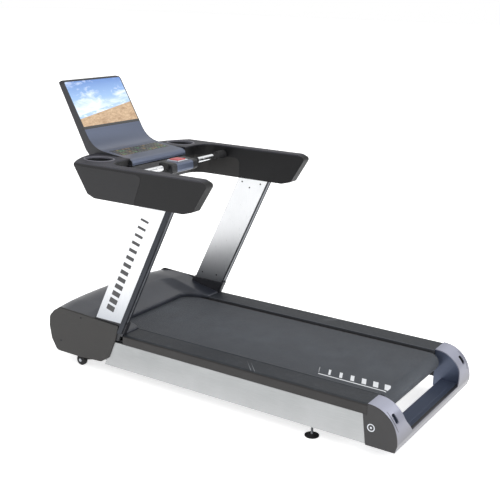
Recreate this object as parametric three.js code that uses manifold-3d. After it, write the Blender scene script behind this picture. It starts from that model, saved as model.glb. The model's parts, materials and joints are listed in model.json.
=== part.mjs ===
// A motorised treadmill with an incline, for a gym floor.
// Millimetres, +Z up, +Y towards the console, +X to the runner's right; z = 0 is the floor
// and the origin is the middle of the footprint.
import * as THREE from "three";
import { mergeVertices } from "three/addons/utils/BufferGeometryUtils.js";
import Module from "manifold-3d";

const wasm = await Module();
wasm.setup();

// ---------------------------------------------------------------- driving dimensions
const touch = 0.3;                  // gap between pieces that rest on each other
const running = 0.4;                // radial clearance of a turning fit
const rearEnd = -1082;              // rearmost point of the end cap
const frontEnd = 1082;              // foremost point of the console
const beltHalf = 300;
const sideWidth = 152;              // from the belt's edge to the outer face of the side panels

const frameBottom = 80;
const frameTubeHeight = 135;
const frameTubeWidth = 40;
const frameWall = 4;
const frameRear = -935;
const frameFront = 900;
const crossTube = 40;
const rearMemberY = -870;

const rollerRadius = 45;
const rollerWall = 4;
const rollerHub = 12;
const shaftRadius = 10;
const rearAxisY = -918;
const frontAxisY = 665;
const axisZ = 196.3;
const beltThickness = 3;
const deckThickness = 25;
const cushionRadius = 24;
const rearCrossbarY = -650;
const frontCrossbarY = 350;
const crossbarTop = 200;

const footRailRise = 11;            // how far the foot rail stands above the belt
const footRailDepth = 51;
const footRailFront = 470;
const sidePanelThickness = 12;
const sidePanelBottom = 62;
const sidePanelFront = 600;

const motorY = 806;
const motorZ = 182;
const motorRadius = 50;
const motorLength = 240;
const motorShaftRadius = 8;
const frontPulleyRadius = 50;
const motorPulleyRadius = 25;
const pulleyWidth = 26;
const driveBeltThickness = 3;
const motorPlateZ = 118;
const motorPlateThickness = 6;

const liftPivotY = 475;
const liftPivotZ = 122;
const liftTubeRadius = 15;
const liftArmWidth = 26;
const liftHorn = 56;
const wheelY = 795;
const wheelRadius = 30;
const wheelWidth = 26;
const wheelAxleRadius = 8;
const actuatorY = 850;
const actuatorZ = 88;
const actuatorRadius = 18;
const actuatorBodyLength = 215;
const actuatorRodRadius = 9;
const pinRadius = 5;
const hornPinRadius = 6;
const hornEyeBore = 12;
const forkDepth = 36;               // from the eye to the bridge of the rod's fork

const footY = -642;
const footRadius = 35;
const footDisc = 9;
const footStudRadius = 6;

const coverThickness = 8;           // side covers and the masts' outer plates
const mastDepth = 38;               // a mast across its two plates
const mastWidth = 196;
const mastRearAtHood = 450;
const mastRearAtArm = 150.8;
const hoodTop = 324;

const armBottom = 966;
const armHeight = 172;
const armRear = -85;
const armFront = 757;
const armBow = 90;                  // how far an arm's front runs forward towards the console
const armWall = 4;
const throatFront = 584;            // the wall in front of the runner's hand, at the top of an arm
const throatRadius = 85;
const throatLean = 0.4;             // how far that wall runs forward for each unit of depth
const cupY = 700;
const cupHalfWidth = 66;
const cupHalfLength = 80;
const cupDepth = 71;

const consoleHalf = 230;
const facePlateThickness = 3;
const displayThickness = 20;
const displayMargin = 6;

const gripY = 445;
const gripRadius = 12;
const gripEndGap = 2;               // between the bar's end and the inner face of an arm
const sleeveWall = 3;
const sleeveStart = 153;
const flangeStart = 86;             // the end collars, measured in from the bar's ends
const flangeEnd = 9;
const stopBoxHalf = 114;

// ---------------------------------------------------------------- sizes that follow
const baseHalf = beltHalf + sideWidth;
const rollerHalf = beltHalf + 5;
const deckHalf = beltHalf + 10;
const footRailInner = beltHalf + 18;
const cushionX = deckHalf - 60;
const pulleyStart = rollerHalf + 13;
const motorEnd = pulleyStart - 18;
const motorStart = motorEnd - motorLength;
const beltOuter = rollerRadius + touch + beltThickness;
const beltTop = axisZ + beltOuter;
const deckTop = axisZ + rollerRadius;
const footRailTop = beltTop + footRailRise;
const frameTop = frameBottom + frameTubeHeight;
const frameOuter = baseHalf - sidePanelThickness - 5.3;
const frameInner = frameOuter - frameTubeWidth;
const crossHalf = frameInner - touch;
const liftArmInner = frameInner - 6.7 - liftArmWidth;
const footX = baseHalf - 37;
const capFront = frameRear + 5;
const capRake = 19;                 // how far the joint with the side panel leans forward
const capBottom = 57;
const jointTop = footRailTop - footRailDepth - touch;
const jointY = (z) => capFront + (capRake * (z - capBottom)) / (jointTop - capBottom);
const mastOuter = baseHalf + coverThickness;
const mastInner = mastOuter - mastDepth;
const mastCoreInner = mastInner + 4;
const mastCoreOuter = baseHalf - touch;
const coverInner = baseHalf + touch;
const mastLean = (mastRearAtHood - mastRearAtArm) / (armBottom - hoodTop);
const mastRear = (z) => mastRearAtHood - mastLean * (z - hoodTop);
const mastFront = (z) => mastRear(z) + mastWidth;
const armInner = mastInner;
const armOuter = mastOuter + 20;
const armTop = armBottom + armHeight;
const cornerInner = consoleHalf + 5; // where the corner of an arm meets the console beam
const cupX = armInner - 77;
const cupFloor = armTop - cupDepth;
const deskLevel = armTop + 9;       // where the console's rear part leaves the arms
const beamTop = deskLevel - 55;
const displayHalf = consoleHalf - displayMargin;
const gripZ = armTop - 46;
const sleeveRadius = gripRadius + sleeveWall;

// ---------------------------------------------------------------- solids
function plain(geometry) {
  const copy = geometry.clone();
  copy.deleteAttribute("normal");
  copy.deleteAttribute("uv");
  return mergeVertices(copy, 1e-4);
}

function toSolid(geometry) {
  const merged = plain(geometry);
  return new wasm.Manifold(new wasm.Mesh({
    numProp: 3,
    vertProperties: new Float32Array(merged.attributes.position.array),
    triVerts: new Uint32Array(merged.index.array),
  }));
}

function toGeometry(solid) {
  const mesh = solid.getMesh();
  const geometry = new THREE.BufferGeometry();
  geometry.setAttribute("position", new THREE.BufferAttribute(mesh.vertProperties, 3));
  geometry.setIndex(new THREE.BufferAttribute(mesh.triVerts, 1));
  return geometry;
}

const join = (first, ...others) =>
  toGeometry(others.reduce((sum, next) => sum.add(toSolid(next)), toSolid(first)));
const cut = (first, ...others) =>
  toGeometry(others.reduce((rest, next) => rest.subtract(toSolid(next)), toSolid(first)));
const common = (first, second) => toGeometry(toSolid(first).intersect(toSolid(second)));

function mirrored(geometry) {
  const copy = plain(geometry).scale(-1, 1, 1);
  const index = copy.index.array;
  for (let i = 0; i < index.length; i += 3) {
    [index[i], index[i + 1]] = [index[i + 1], index[i]];
  }
  return copy;
}

function box(x0, x1, y0, y1, z0, z1) {
  const shape = new THREE.BoxGeometry(x1 - x0, y1 - y0, z1 - z0);
  return shape.translate((x0 + x1) / 2, (y0 + y1) / 2, (z0 + z1) / 2);
}

// A closed outline pushed straight along an axis; `bevel` rounds the edges of both ends.
function extruded(points, depth, bevel, steps = 1) {
  const shape = new THREE.Shape(points.map(([u, v]) => new THREE.Vector2(u, v)));
  return new THREE.ExtrudeGeometry(shape, {
    steps,
    depth: depth - 2 * bevel,
    bevelEnabled: bevel > 0,
    bevelThickness: bevel,
    bevelSize: bevel,
    bevelOffset: -bevel,
    bevelSegments: 2,
    curveSegments: 1,
  }).translate(0, 0, bevel);
}

const alongX = new THREE.Matrix4().set(0, 0, 1, 0, 1, 0, 0, 0, 0, 1, 0, 0, 0, 0, 0, 1);
const alongY = new THREE.Matrix4().set(1, 0, 0, 0, 0, 0, -1, 0, 0, 1, 0, 0, 0, 0, 0, 1);

// Outlines are (y, z) for prismX, (x, z) for prismY and (x, y) for prismZ.
const prismX = (points, x0, x1, bevel = 0, steps = 1) =>
  extruded(points, x1 - x0, bevel, steps).applyMatrix4(alongX).translate(x0, 0, 0);
const prismY = (points, y0, y1) =>
  extruded(points, y1 - y0, 0).applyMatrix4(alongY).translate(0, y1, 0);
const prismZ = (points, z0, z1) => extruded(points, z1 - z0, 0).translate(0, 0, z0);

// Corners given as [u, v, radius] become short curves; a corner with no radius stays sharp.
function rounded(corners, steps = 3) {
  const points = [];
  corners.forEach(([u, v, radius], i) => {
    if (!radius) {
      points.push([u, v]);
      return;
    }
    const here = new THREE.Vector2(u, v);
    const before = new THREE.Vector2(...corners.at(i - 1)).sub(here).normalize();
    const after = new THREE.Vector2(...corners[(i + 1) % corners.length]).sub(here).normalize();
    const reach = radius / Math.tan(Math.acos(before.dot(after)) / 2);
    const start = here.clone().addScaledVector(before, reach);
    const end = here.clone().addScaledVector(after, reach);
    const curve = new THREE.QuadraticBezierCurve(start, here, end);
    curve.getPoints(steps).forEach((p) => points.push([p.x, p.y]));
  });
  return points;
}

function circle(u, v, radius, sides) {
  return Array.from({ length: sides }, (_, i) => {
    const turn = (2 * Math.PI * i) / sides;
    return [u + radius * Math.cos(turn), v + radius * Math.sin(turn)];
  });
}

function ellipse(u, v, a, b, sides) {
  return circle(0, 0, 1, sides).map(([x, y]) => [u + a * x, v + b * y]);
}

// A line of points moved sideways by `distance`, to its left as it runs.
function shifted(points, distance, closed = false) {
  const count = points.length;
  const normal = (i, j) => {
    const [u, v] = [points[j][0] - points[i][0], points[j][1] - points[i][1]];
    const length = Math.hypot(u, v);
    return [-v / length, u / length];
  };
  return points.map((point, i) => {
    const before = i > 0 || closed ? normal((i - 1 + count) % count, i) : null;
    const after = i < count - 1 || closed ? normal(i, (i + 1) % count) : null;
    const [a, b] = [before ?? after, after ?? before];
    const scale = distance / (1 + a[0] * b[0] + a[1] * b[1]);
    return [point[0] + (a[0] + b[0]) * scale, point[1] + (a[1] + b[1]) * scale];
  });
}

// The same line with both of its ends moved outwards.
function lengthened(points, extra) {
  const moved = ([u0, v0], [u1, v1]) => {
    const share = extra / Math.hypot(u1 - u0, v1 - v0);
    return [u1 + (u1 - u0) * share, v1 + (v1 - v0) * share];
  };
  return [moved(points[1], points[0]), ...points.slice(1, -1), moved(points.at(-2), points.at(-1))];
}

// A strip of even thickness that lies on the left of a line of points.
const strip = (points, from, to) =>
  [...shifted(points, from), ...shifted(points, to).reverse()];

const rodX = (radius, x0, x1, y, z, sides = 20) =>
  prismX(circle(y, z, radius, sides), x0, x1);
const rodZ = (radius, x, y, z0, z1, sides = 20) =>
  prismZ(circle(x, y, radius, sides), z0, z1);

// Rings and rollers: [radius, x] points of a half section, turned about an axis along X.
function turnedX(section, y, z, sides = 32) {
  const profile = [...section, section[0]].map(([r, x]) => new THREE.Vector2(r, x));
  return new THREE.LatheGeometry(profile, sides).rotateZ(-Math.PI / 2).translate(0, y, z);
}

// The path of a belt round two pulleys with axes along X, as a closed outline.
function beltOutline([y0, z0, r0], [y1, z1, r1], extra, steps) {
  const line = Math.atan2(z1 - z0, y1 - y0);
  const spread = Math.acos((r0 - r1) / Math.hypot(y1 - y0, z1 - z0));
  const arc = (y, z, r, from, to) => Array.from({ length: steps + 1 }, (_, i) => {
    const turn = from + ((to - from) * i) / steps;
    return [y + (r + extra) * Math.cos(turn), z + (r + extra) * Math.sin(turn)];
  });
  return [
    ...arc(y0, z0, r0, line + spread, line + 2 * Math.PI - spread),
    ...arc(y1, z1, r1, line - spread, line + spread),
  ];
}

function beltLoop(first, second, thickness, x0, x1, steps) {
  const outer = prismX(beltOutline(first, second, touch + thickness, steps), x0, x1);
  const inner = prismX(beltOutline(first, second, touch, steps), x0 - 1, x1 + 1);
  return cut(outer, inner);
}

const tubeAlongX = (x0, x1, y0, y1, z0, z1, wall) => cut(
  box(x0, x1, y0, y1, z0, z1),
  box(x0 - 1, x1 + 1, y0 + wall, y1 - wall, z0 + wall, z1 - wall),
);

// ---------------------------------------------------------------- materials and the group
const treadmill = new THREE.Group();
const finish = (color, roughness, metalness) =>
  new THREE.MeshStandardMaterial({ color, roughness, metalness });
const paintedSteel = finish("#2b2c2f", 0.5, 0.4);
const brightSteel = finish("#b9bcc0", 0.3, 0.9);
const chrome = finish("#e4e6e8", 0.1, 1.0);
const silverAluminium = finish("#c2c4c6", 0.35, 0.8);
const darkPlastic = finish("#36373a", 0.6, 0.0);
const railPlastic = finish("#34373b", 0.55, 0.0);
const hoodPlastic = finish("#3f424d", 0.4, 0.1);
const capPlastic = finish("#7d7e92", 0.35, 0.3);
const facePlastic = finish("#8e97ac", 0.3, 0.6);
const beltFabric = finish("#444b55", 0.8, 0.0);
const board = finish("#4a3b2c", 0.7, 0.0);
const rubber = finish("#1d1d1f", 0.9, 0.0);
const glass = finish("#5f8fd0", 0.1, 0.0);
const blackGloss = finish("#15161a", 0.2, 0.0);
const stopRed = finish("#cf3b42", 0.4, 0.0);
const greenBoard = finish("#1f5a3a", 0.5, 0.0);

function piece(name, geometry, material) {
  const mesh = new THREE.Mesh(plain(geometry), material);
  mesh.name = name;
  treadmill.add(mesh);
}

function pair(name, geometry, material) {
  piece(`${name}_right`, geometry, material);
  piece(`${name}_left`, mirrored(geometry), material);
}

// ---------------------------------------------------------------- frame
function frame() {
  const tube = box(frameInner, frameOuter, frameRear, frameFront, frameBottom, frameTop);
  const bore = box(
    frameInner + frameWall, frameOuter - frameWall,
    frameRear - 1, frameFront + 1,
    frameBottom + frameWall, frameTop - frameWall,
  );
  const studHole = rodZ(
    footStudRadius + running, footX, footY, frameBottom - 1, frameBottom + 2 * frameWall, 16,
  );
  pair("frame_rail", cut(tube, bore, studHole), paintedSteel);

  const memberZ = frameBottom + 5;
  piece("rear_cross_member", tubeAlongX(
    -crossHalf, crossHalf, rearMemberY, rearMemberY + crossTube, memberZ, memberZ + crossTube, frameWall,
  ), paintedSteel);

  const earInner = actuatorRadius - 4 + touch * 2;
  const ear = (x0, x1) => prismX(rounded([
    [frameFront - 14, actuatorZ + 16], [actuatorY - 14, actuatorZ + 16, 12],
    [actuatorY - 14, actuatorZ - 13, 12], [frameFront - 14, actuatorZ - 8],
  ]), x0, x1);
  const frontMemberY = frameFront - 15;
  piece("front_cross_member", join(
    tubeAlongX(
      -crossHalf, crossHalf, frontMemberY, frontMemberY + crossTube,
      frameBottom - 5, frameBottom + 33, frameWall,
    ),
    ear(earInner, earInner + 6),
    ear(-earInner - 6, -earInner),
    rodX(pinRadius, -earInner - 5, earInner + 5, actuatorY, actuatorZ, 16),
  ), paintedSteel);

  const crossbar = (y) => tubeAlongX(
    -crossHalf, crossHalf, y - crossTube / 2, y + crossTube / 2,
    crossbarTop - crossTube, crossbarTop, frameWall,
  );
  piece("deck_crossbar_rear", crossbar(rearCrossbarY), paintedSteel);
  piece("deck_crossbar_front", crossbar(frontCrossbarY), paintedSteel);
  const cushion = (y) => rodZ(
    cushionRadius, cushionX, y, crossbarTop + touch, deckTop - deckThickness - touch, 16,
  );
  pair("deck_cushion_rear", cushion(rearCrossbarY), rubber);
  pair("deck_cushion_front", cushion(frontCrossbarY), rubber);
}

// ---------------------------------------------------------------- deck, belt and rollers
const rearAxis = [rearAxisY, axisZ, rollerRadius];
const frontAxis = [frontAxisY, axisZ, rollerRadius];

function deckAndBelt() {
  const clear = beltOuter + 10;
  piece("running_deck", box(
    -deckHalf, deckHalf, rearAxisY + clear, frontAxisY - clear, deckTop - deckThickness, deckTop,
  ), board);
  const loop = beltLoop(rearAxis, frontAxis, beltThickness, -beltHalf, beltHalf, 18);
  piece("running_belt", loop, beltFabric);

  const bore = shaftRadius + running;
  const inside = rollerRadius - rollerWall;
  const drum = [
    [bore, -rollerHalf], [rollerRadius, -rollerHalf], [rollerRadius, rollerHalf], [bore, rollerHalf],
    [bore, rollerHalf - rollerHub], [inside, rollerHalf - rollerHub],
    [inside, rollerHub - rollerHalf], [bore, rollerHub - rollerHalf],
  ];
  piece("rear_roller", turnedX(drum, rearAxisY, axisZ), brightSteel);
  const pulleyEnd = pulleyStart + pulleyWidth;
  const driven = [...drum];
  driven.splice(
    3, 1,
    [bore + rollerHub, rollerHalf], [bore + rollerHub, pulleyStart], [frontPulleyRadius, pulleyStart],
    [frontPulleyRadius, pulleyEnd], [bore, pulleyEnd],
  );
  piece("front_roller", turnedX(driven, frontAxisY, axisZ), brightSteel);
  piece("rear_roller_shaft", rodX(shaftRadius, -crossHalf, crossHalf, rearAxisY, axisZ), brightSteel);
  piece("front_roller_shaft", rodX(shaftRadius, -crossHalf, crossHalf, frontAxisY, axisZ), brightSteel);
}

// ---------------------------------------------------------------- drive
function drive() {
  const bore = motorShaftRadius + running;
  const can = turnedX([
    [bore, motorStart], [motorRadius - 6, motorStart], [motorRadius, motorStart + 6],
    [motorRadius, motorEnd - 6], [motorRadius - 6, motorEnd], [bore, motorEnd],
  ], motorY, motorZ, 28);
  const plateTop = motorPlateZ + motorPlateThickness;
  const foot = cut(
    box(
      motorStart + 40, motorEnd - 40, motorY - 38, motorY + 38,
      plateTop + touch, motorZ - motorRadius + 14,
    ),
    rodX(motorRadius - 3, motorStart, motorEnd, motorY, motorZ, 28),
  );
  piece("motor_housing", join(can, foot), paintedSteel);

  const pulleyEnd = pulleyStart + pulleyWidth;
  piece("motor_rotor", turnedX([
    [0, motorStart - 40], [motorRadius - 4, motorStart - 40], [motorRadius - 4, motorStart - 16],
    [motorShaftRadius, motorStart - 16], [motorShaftRadius, pulleyStart],
    [motorPulleyRadius, pulleyStart], [motorPulleyRadius, pulleyEnd], [0, pulleyEnd],
  ], motorY, motorZ, 24), brightSteel);
  piece("drive_belt", beltLoop(
    [frontAxisY, axisZ, frontPulleyRadius], [motorY, motorZ, motorPulleyRadius],
    driveBeltThickness, pulleyStart + 2, pulleyEnd - 2, 20,
  ), rubber);
  piece("motor_plate", box(
    -crossHalf, crossHalf, motorY - 66, frameFront - 17, motorPlateZ, plateTop,
  ), paintedSteel);

  const inverter = box(-330, -70, motorY - 56, motorY + 64, plateTop + touch, plateTop + 70);
  const fins = [0, 1, 2, 3, 4, 5].map((i) =>
    box(-322 + i * 44, -306 + i * 44, motorY - 50, motorY + 58, plateTop + 69, plateTop + 84));
  piece("motor_controller", join(inverter, ...fins), silverAluminium);
}

// ---------------------------------------------------------------- incline
function incline() {
  const arm = (x0) => prismX(rounded([
    [liftPivotY - 16, liftPivotZ - 18, 14], [wheelY + 14, wheelRadius - 15, 13],
    [wheelY + 14, wheelRadius + 14, 13], [liftPivotY - 2, liftPivotZ + 22, 10],
  ]), x0, x0 + liftArmWidth);
  const hornTip = liftPivotZ - liftHorn;
  const horn = prismX(rounded([
    [liftPivotY - 14, liftPivotZ], [liftPivotY - 11, hornTip - 11, 9],
    [liftPivotY + 11, hornTip - 11, 9], [liftPivotY + 14, liftPivotZ],
  ]), -6, 6);
  const axleHalf = footX + wheelWidth / 2 + 4;
  piece("lift_frame", join(
    rodX(liftTubeRadius, -crossHalf + 1, crossHalf - 1, liftPivotY, liftPivotZ),
    arm(liftArmInner),
    arm(-liftArmInner - liftArmWidth),
    rodX(wheelAxleRadius, -axleHalf, axleHalf, wheelY, wheelRadius),
    horn,
    rodX(hornPinRadius, -20, 20, liftPivotY, hornTip, 16),
  ), paintedSteel);

  const bore = wheelAxleRadius + running;
  const half = wheelWidth / 2;
  pair("transport_wheel", turnedX([
    [bore, footX - half], [wheelRadius - 4, footX - half], [wheelRadius, footX - half + 4],
    [wheelRadius, footX + half - 4], [wheelRadius - 4, footX + half], [bore, footX + half],
  ], wheelY, wheelRadius, 28), rubber);

  // The actuator is built lying along Y from its pin, then turned to point at the horn.
  const reach = Math.hypot(actuatorY - liftPivotY, actuatorZ - hornTip);
  const slope = Math.atan2(actuatorZ - hornTip, actuatorY - liftPivotY);
  const place = (geometry) =>
    geometry.rotateX(slope).translate(0, actuatorY, actuatorZ);
  const eyeWidth = actuatorRadius - 4;
  const rodBore = actuatorRodRadius + running;
  const barrelRear = -actuatorBodyLength;
  piece("actuator_body", place(cut(
    join(
      prismY(circle(0, 0, actuatorRadius, 20), barrelRear, -16),
      prismX(rounded([[-20, -11], [12, -11, 10], [12, 11, 10], [-20, 11]]), -eyeWidth, eyeWidth),
    ),
    prismY(circle(0, 0, rodBore, 20), barrelRear - 1, -28),
    rodX(pinRadius + running, -eyeWidth - 1, eyeWidth + 1, 0, 0, 16),
  )), paintedSteel);
  const bridge = forkDepth - reach;
  const fork = (x0) => cut(
    prismX(rounded([
      [-reach - 18, -18, 15], [bridge + 10, -9], [bridge + 10, 9], [-reach - 18, 18, 15],
    ]), x0, x0 + 7),
    rodX(hornEyeBore, x0 - 1, x0 + 8, -reach, 0, 20),
  );
  piece("actuator_rod", place(join(
    prismY(circle(0, 0, actuatorRodRadius, 20), bridge, -60),
    box(-15, 15, bridge, bridge + 12, -9, 9),
    fork(8),
    fork(-15),
  )), brightSteel);
}

// ---------------------------------------------------------------- feet
function feet() {
  const pad = [
    [0, 0], [footRadius - 2, 0], [footRadius, 2], [footRadius, footDisc - 3],
    [footStudRadius + 5, footDisc], [footStudRadius, footDisc], [footStudRadius, frameBottom + 28],
    [0, frameBottom + 28],
  ].map(([r, z]) => new THREE.Vector2(r, z));
  const foot = new THREE.LatheGeometry(pad, 24).rotateX(Math.PI / 2);
  pair("levelling_foot", foot.translate(footX, footY, 0), rubber);
}

// ---------------------------------------------------------------- side panels and foot rails
function sides() {
  pair("side_panel", prismX([
    [jointY(jointTop) + touch, jointTop], [jointY(sidePanelBottom) + touch, sidePanelBottom],
    [sidePanelFront, sidePanelBottom], [sidePanelFront - 60, jointTop],
  ], baseHalf - sidePanelThickness, baseHalf), silverAluminium);

  const plate = 9;
  const bottom = footRailTop - footRailDepth;
  pair("foot_rail", prismY(rounded([
    [footRailInner, footRailTop], [footRailInner, deckTop - deckThickness + 8],
    [footRailInner + plate, deckTop - deckThickness + 8], [footRailInner + plate, footRailTop - plate],
    [baseHalf - 7, footRailTop - plate], [baseHalf - 7, bottom], [baseHalf, bottom],
    [baseHalf, footRailTop, 8],
  ], 2).reverse(), capFront + touch, footRailFront), railPlastic);
}

// ---------------------------------------------------------------- rear end cap
const capRadiusY = Math.abs(rearEnd - capFront);
const capBase = 90;
const capWall = 5;
const capInner = footRailInner + 17;
const capSill = 106;                // top of the crosspiece behind the tray

function capOutline(steps) {
  const top = footRailTop;
  const arc = Array.from({ length: steps + 1 }, (_, i) => {
    const turn = (Math.PI / 2) * (i / steps);
    return [
      capFront - 8 - (capRadiusY - 8) * Math.sin(turn),
      capBase + (top - capBase) * Math.cos(turn) ** 0.92,
    ];
  });
  return [[capFront, top], ...arc, [rearEnd + 10, capBottom]];
}

function endCap() {
  const outline = capOutline(12);
  const filled = shifted(outline, capWall / 2);
  const cheek = [...filled, [capFront, capBottom], [jointY(jointTop), jointTop], [capFront, jointTop]];
  const closed = [...filled, [capFront, capBottom]];
  const flare = capInner - 50;
  const opening = rounded([
    [-flare, capSill], [flare, capSill], [capInner, capSill + 62, 40], [capInner, footRailTop + 5],
    [-capInner, footRailTop + 5], [-capInner, capSill + 62, 40],
  ], 4);
  const band = cut(
    prismX(strip(outline, 0, capWall), -baseHalf, baseHalf, 0),
    prismY(opening, rearEnd - 5, capFront + 5),
  );
  const wall = (side, x0, x1) => prismX(side, x0, x1);
  const sill = prismX([
    [rearEnd + 2, capSill], [rearEnd + 10, capBottom], [rearEnd + 20, capBottom], [rearEnd + 20, capSill],
  ], -capInner, capInner);
  const slotInner = baseHalf - 60;
  const slotOuter = baseHalf - 28;
  const slot = prismY(rounded([
    [slotInner, axisZ - 16, 6], [slotOuter, axisZ - 16, 6],
    [slotOuter, axisZ + 22, 6], [slotInner, axisZ + 22, 6],
  ], 2), rearEnd - 5, rearEnd + 60);
  piece("rear_end_cap", cut(
    join(
      band, sill,
      wall(closed, capInner, capInner + 4), wall(cheek, baseHalf - 4, baseHalf),
      wall(closed, -capInner - 4, -capInner), wall(cheek, -baseHalf, 4 - baseHalf),
    ),
    slot, mirrored(slot),
  ), capPlastic);

  const trayRear = rearEnd + 21;
  const trayFront = rearAxisY - beltOuter - 4;
  const trayMiddle = (trayRear + trayFront) / 2;
  const surface = [[trayRear, capSill - 2], [trayMiddle, capSill - 8], [trayFront, capSill - 4]];
  piece("rear_tray", prismX(
    [...surface, ...shifted(surface, -3).reverse()], touch - capInner, capInner - touch,
  ), facePlastic);
}

// ---------------------------------------------------------------- hood
const hoodHalf = baseHalf;
const hoodWall = 4;
const hoodRear = 612;               // rear edge of the hood above the belt
const hornStart = footRailInner - 78; // where that edge starts to curve back along the foot rails
const hoodFrontBow = 42;
const coverTop = 322;

// The hood's outer line at a distance `a` from the centre plane, from its rear lip to its front foot.
function hoodLine(a) {
  const bow = hoodFrontBow * (1 - (a / hoodHalf) ** 2);
  const turn = THREE.MathUtils.clamp((a - hornStart) / (footRailInner - hornStart), 0, 1) ** 1.8;
  const rear = THREE.MathUtils.lerp(hoodRear, footRailFront + 4, turn);
  const side = THREE.MathUtils.smoothstep(a, footRailInner - 20, hoodHalf);
  const drop = 8 * side;
  const ridge = THREE.MathUtils.lerp(788, 735, turn);
  const lip = THREE.MathUtils.lerp(270, footRailTop + 8, turn);
  const ridgeHeight = 322 - drop;
  const rise = (t, lift) => [
    THREE.MathUtils.lerp(rear + 4, ridge, t),
    THREE.MathUtils.lerp(lip, ridgeHeight, lift),
  ];
  return [
    [rear, beltTop + 3],
    [rear, lip - 4],
    rise(0, 0),
    rise(0.35, 0.28),
    rise(0.7, 0.68),
    rise(1, 1),
    [840, 326 - drop],
    [890 + bow / 2, 323 - drop],
    [932 + bow, 312 - drop],
    [962 + bow, 296 - drop / 2],
    [980 + bow, 262],
    [986 + bow, 200],
    [974 + bow, 130],
    [940 + bow, 66],
  ];
}

// A shell lofted through lines of equal length, one at each x: outer skin, inner skin and rims.
function lofted(stations, lineAt, wall) {
  const rows = stations.map((x) => {
    const line = lineAt(Math.abs(x));
    return { x, outer: line, inner: shifted(line, -wall) };
  });
  const count = rows[0].outer.length;
  const positions = [];
  rows.forEach(({ x, outer, inner }) => {
    outer.forEach(([y, z]) => positions.push(x, y, z));
    inner.forEach(([y, z]) => positions.push(x, y, z));
  });
  const at = (row, side, i) => row * 2 * count + side * count + i;
  const index = [];
  const quad = (a, b, c, d) => index.push(a, b, c, a, c, d);
  const last = rows.length - 1;
  for (let row = 0; row < last; row += 1) {
    for (let i = 0; i < count - 1; i += 1) {
      quad(at(row, 0, i), at(row + 1, 0, i), at(row + 1, 0, i + 1), at(row, 0, i + 1));
      quad(at(row, 1, i), at(row, 1, i + 1), at(row + 1, 1, i + 1), at(row + 1, 1, i));
    }
    quad(at(row, 0, 0), at(row, 1, 0), at(row + 1, 1, 0), at(row + 1, 0, 0));
    quad(
      at(row, 0, count - 1), at(row + 1, 0, count - 1), at(row + 1, 1, count - 1), at(row, 1, count - 1),
    );
  }
  for (let i = 0; i < count - 1; i += 1) {
    quad(at(0, 0, i), at(0, 0, i + 1), at(0, 1, i + 1), at(0, 1, i));
    quad(at(last, 0, i), at(last, 1, i), at(last, 1, i + 1), at(last, 0, i + 1));
  }
  const geometry = new THREE.BufferGeometry();
  geometry.setAttribute("position", new THREE.Float32BufferAttribute(positions, 3));
  geometry.setIndex(index);
  return geometry;
}

// The slanting column that a mast's core fills, wider all round by `clear`.
function mastColumn(clear, z0, z1) {
  return prismX([
    [mastRear(z0) - clear, z0], [mastFront(z0) + clear, z0],
    [mastFront(z1) + clear, z1], [mastRear(z1) - clear, z1],
  ], mastCoreInner - clear, mastCoreOuter + clear);
}

function hood() {
  const inwards = [0.25, 0.5, 0.75, 1].map((share) => hornStart * share);
  const round = [56, 38, 24, 13, 5, 0].map((inset) => footRailInner - inset);
  const outwards = [0.2, 0.5, 0.76, 1].map((share) =>
    THREE.MathUtils.lerp(footRailInner, hoodHalf, share));
  const half = [...inwards, ...round, ...outwards];
  const stations = [...half.map((x) => -x).reverse(), 0, ...half];
  const shell = lofted(stations, hoodLine, hoodWall);
  const slot = mastColumn(1, frameTop, coverTop + 40);
  const panelHole = box(-320, -220, 960, 1040, 92, 150);
  piece("hood_top", cut(shell, slot, mirrored(slot), panelHole), hoodPlastic);

  pair("side_cover", prismX(rounded([
    [footRailFront + 20, coverTop - 18, 6], [footRailFront + 42, 226, 30], [564, 110, 30],
    [620, 74, 20], [790, 65, 60], [938, 66, 30], [976, 128, 60], [990, 200, 60], [985, 262, 40],
    [912, coverTop, 40],
  ], 3), coverInner, mastOuter, 3), darkPlastic);

  const panHalf = footRailInner + 22 - touch;
  piece("belly_pan", box(
    -panHalf, panHalf, motorY - 62, 938, sidePanelBottom - 6, sidePanelBottom - 3,
  ), darkPlastic);

  const panelY = 952;
  const panel = box(-334, -206, panelY, panelY + 5, 84, 158);
  const inlet = box(-306, -278, panelY - 12, panelY + 9, 108, 134);
  const inletMouth = box(-303, -281, panelY - 9, panelY + 10, 111, 131);
  const switchHole = box(-256, -234, panelY - 8, panelY + 12, 105, 137);
  piece("power_inlet_panel", cut(join(panel, inlet), inletMouth, switchHole), darkPlastic);
  piece("power_switch", prismX([
    [panelY, 108], [panelY + 6, 107], [panelY + 10, 113], [panelY + 7, 121], [panelY + 12, 135],
    [panelY, 134],
  ], -254, -236), blackGloss);
}

// ---------------------------------------------------------------- masts
function masts() {
  const tubeRear = mastRear(armBottom) + 22;
  const tubeLow = armBottom + 34;
  const tubeTop = tubeLow + 44;
  const crossY = 686;
  const blade = mastColumn(0, frameTop + touch, armTop - 60);
  const forwardTube = box(
    mastCoreInner + 4, mastCoreOuter - 2, tubeRear, crossY, tubeLow, tubeTop,
  );
  pair("mast_core", join(blade, forwardTube), paintedSteel);
  piece("console_crossbar", tubeAlongX(
    -mastCoreInner - 3.6, mastCoreInner + 3.6, crossY - 40, crossY, tubeLow, tubeTop, frameWall,
  ), paintedSteel);

  const cover = (z0, rearMargin) => [
    [mastRear(z0) + rearMargin, z0], [mastFront(z0) - 3, z0],
    [mastFront(armBottom - touch) - 3, armBottom - touch],
    [mastRear(armBottom - touch) + rearMargin, armBottom - touch],
  ];
  pair("mast_outer_plate", prismX(cover(coverTop + touch, 26), coverInner, mastOuter), silverAluminium);
  pair("mast_inner_plate", prismX(
    cover(coverTop, 3), mastInner, mastCoreInner - touch,
  ), silverAluminium);
}

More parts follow.
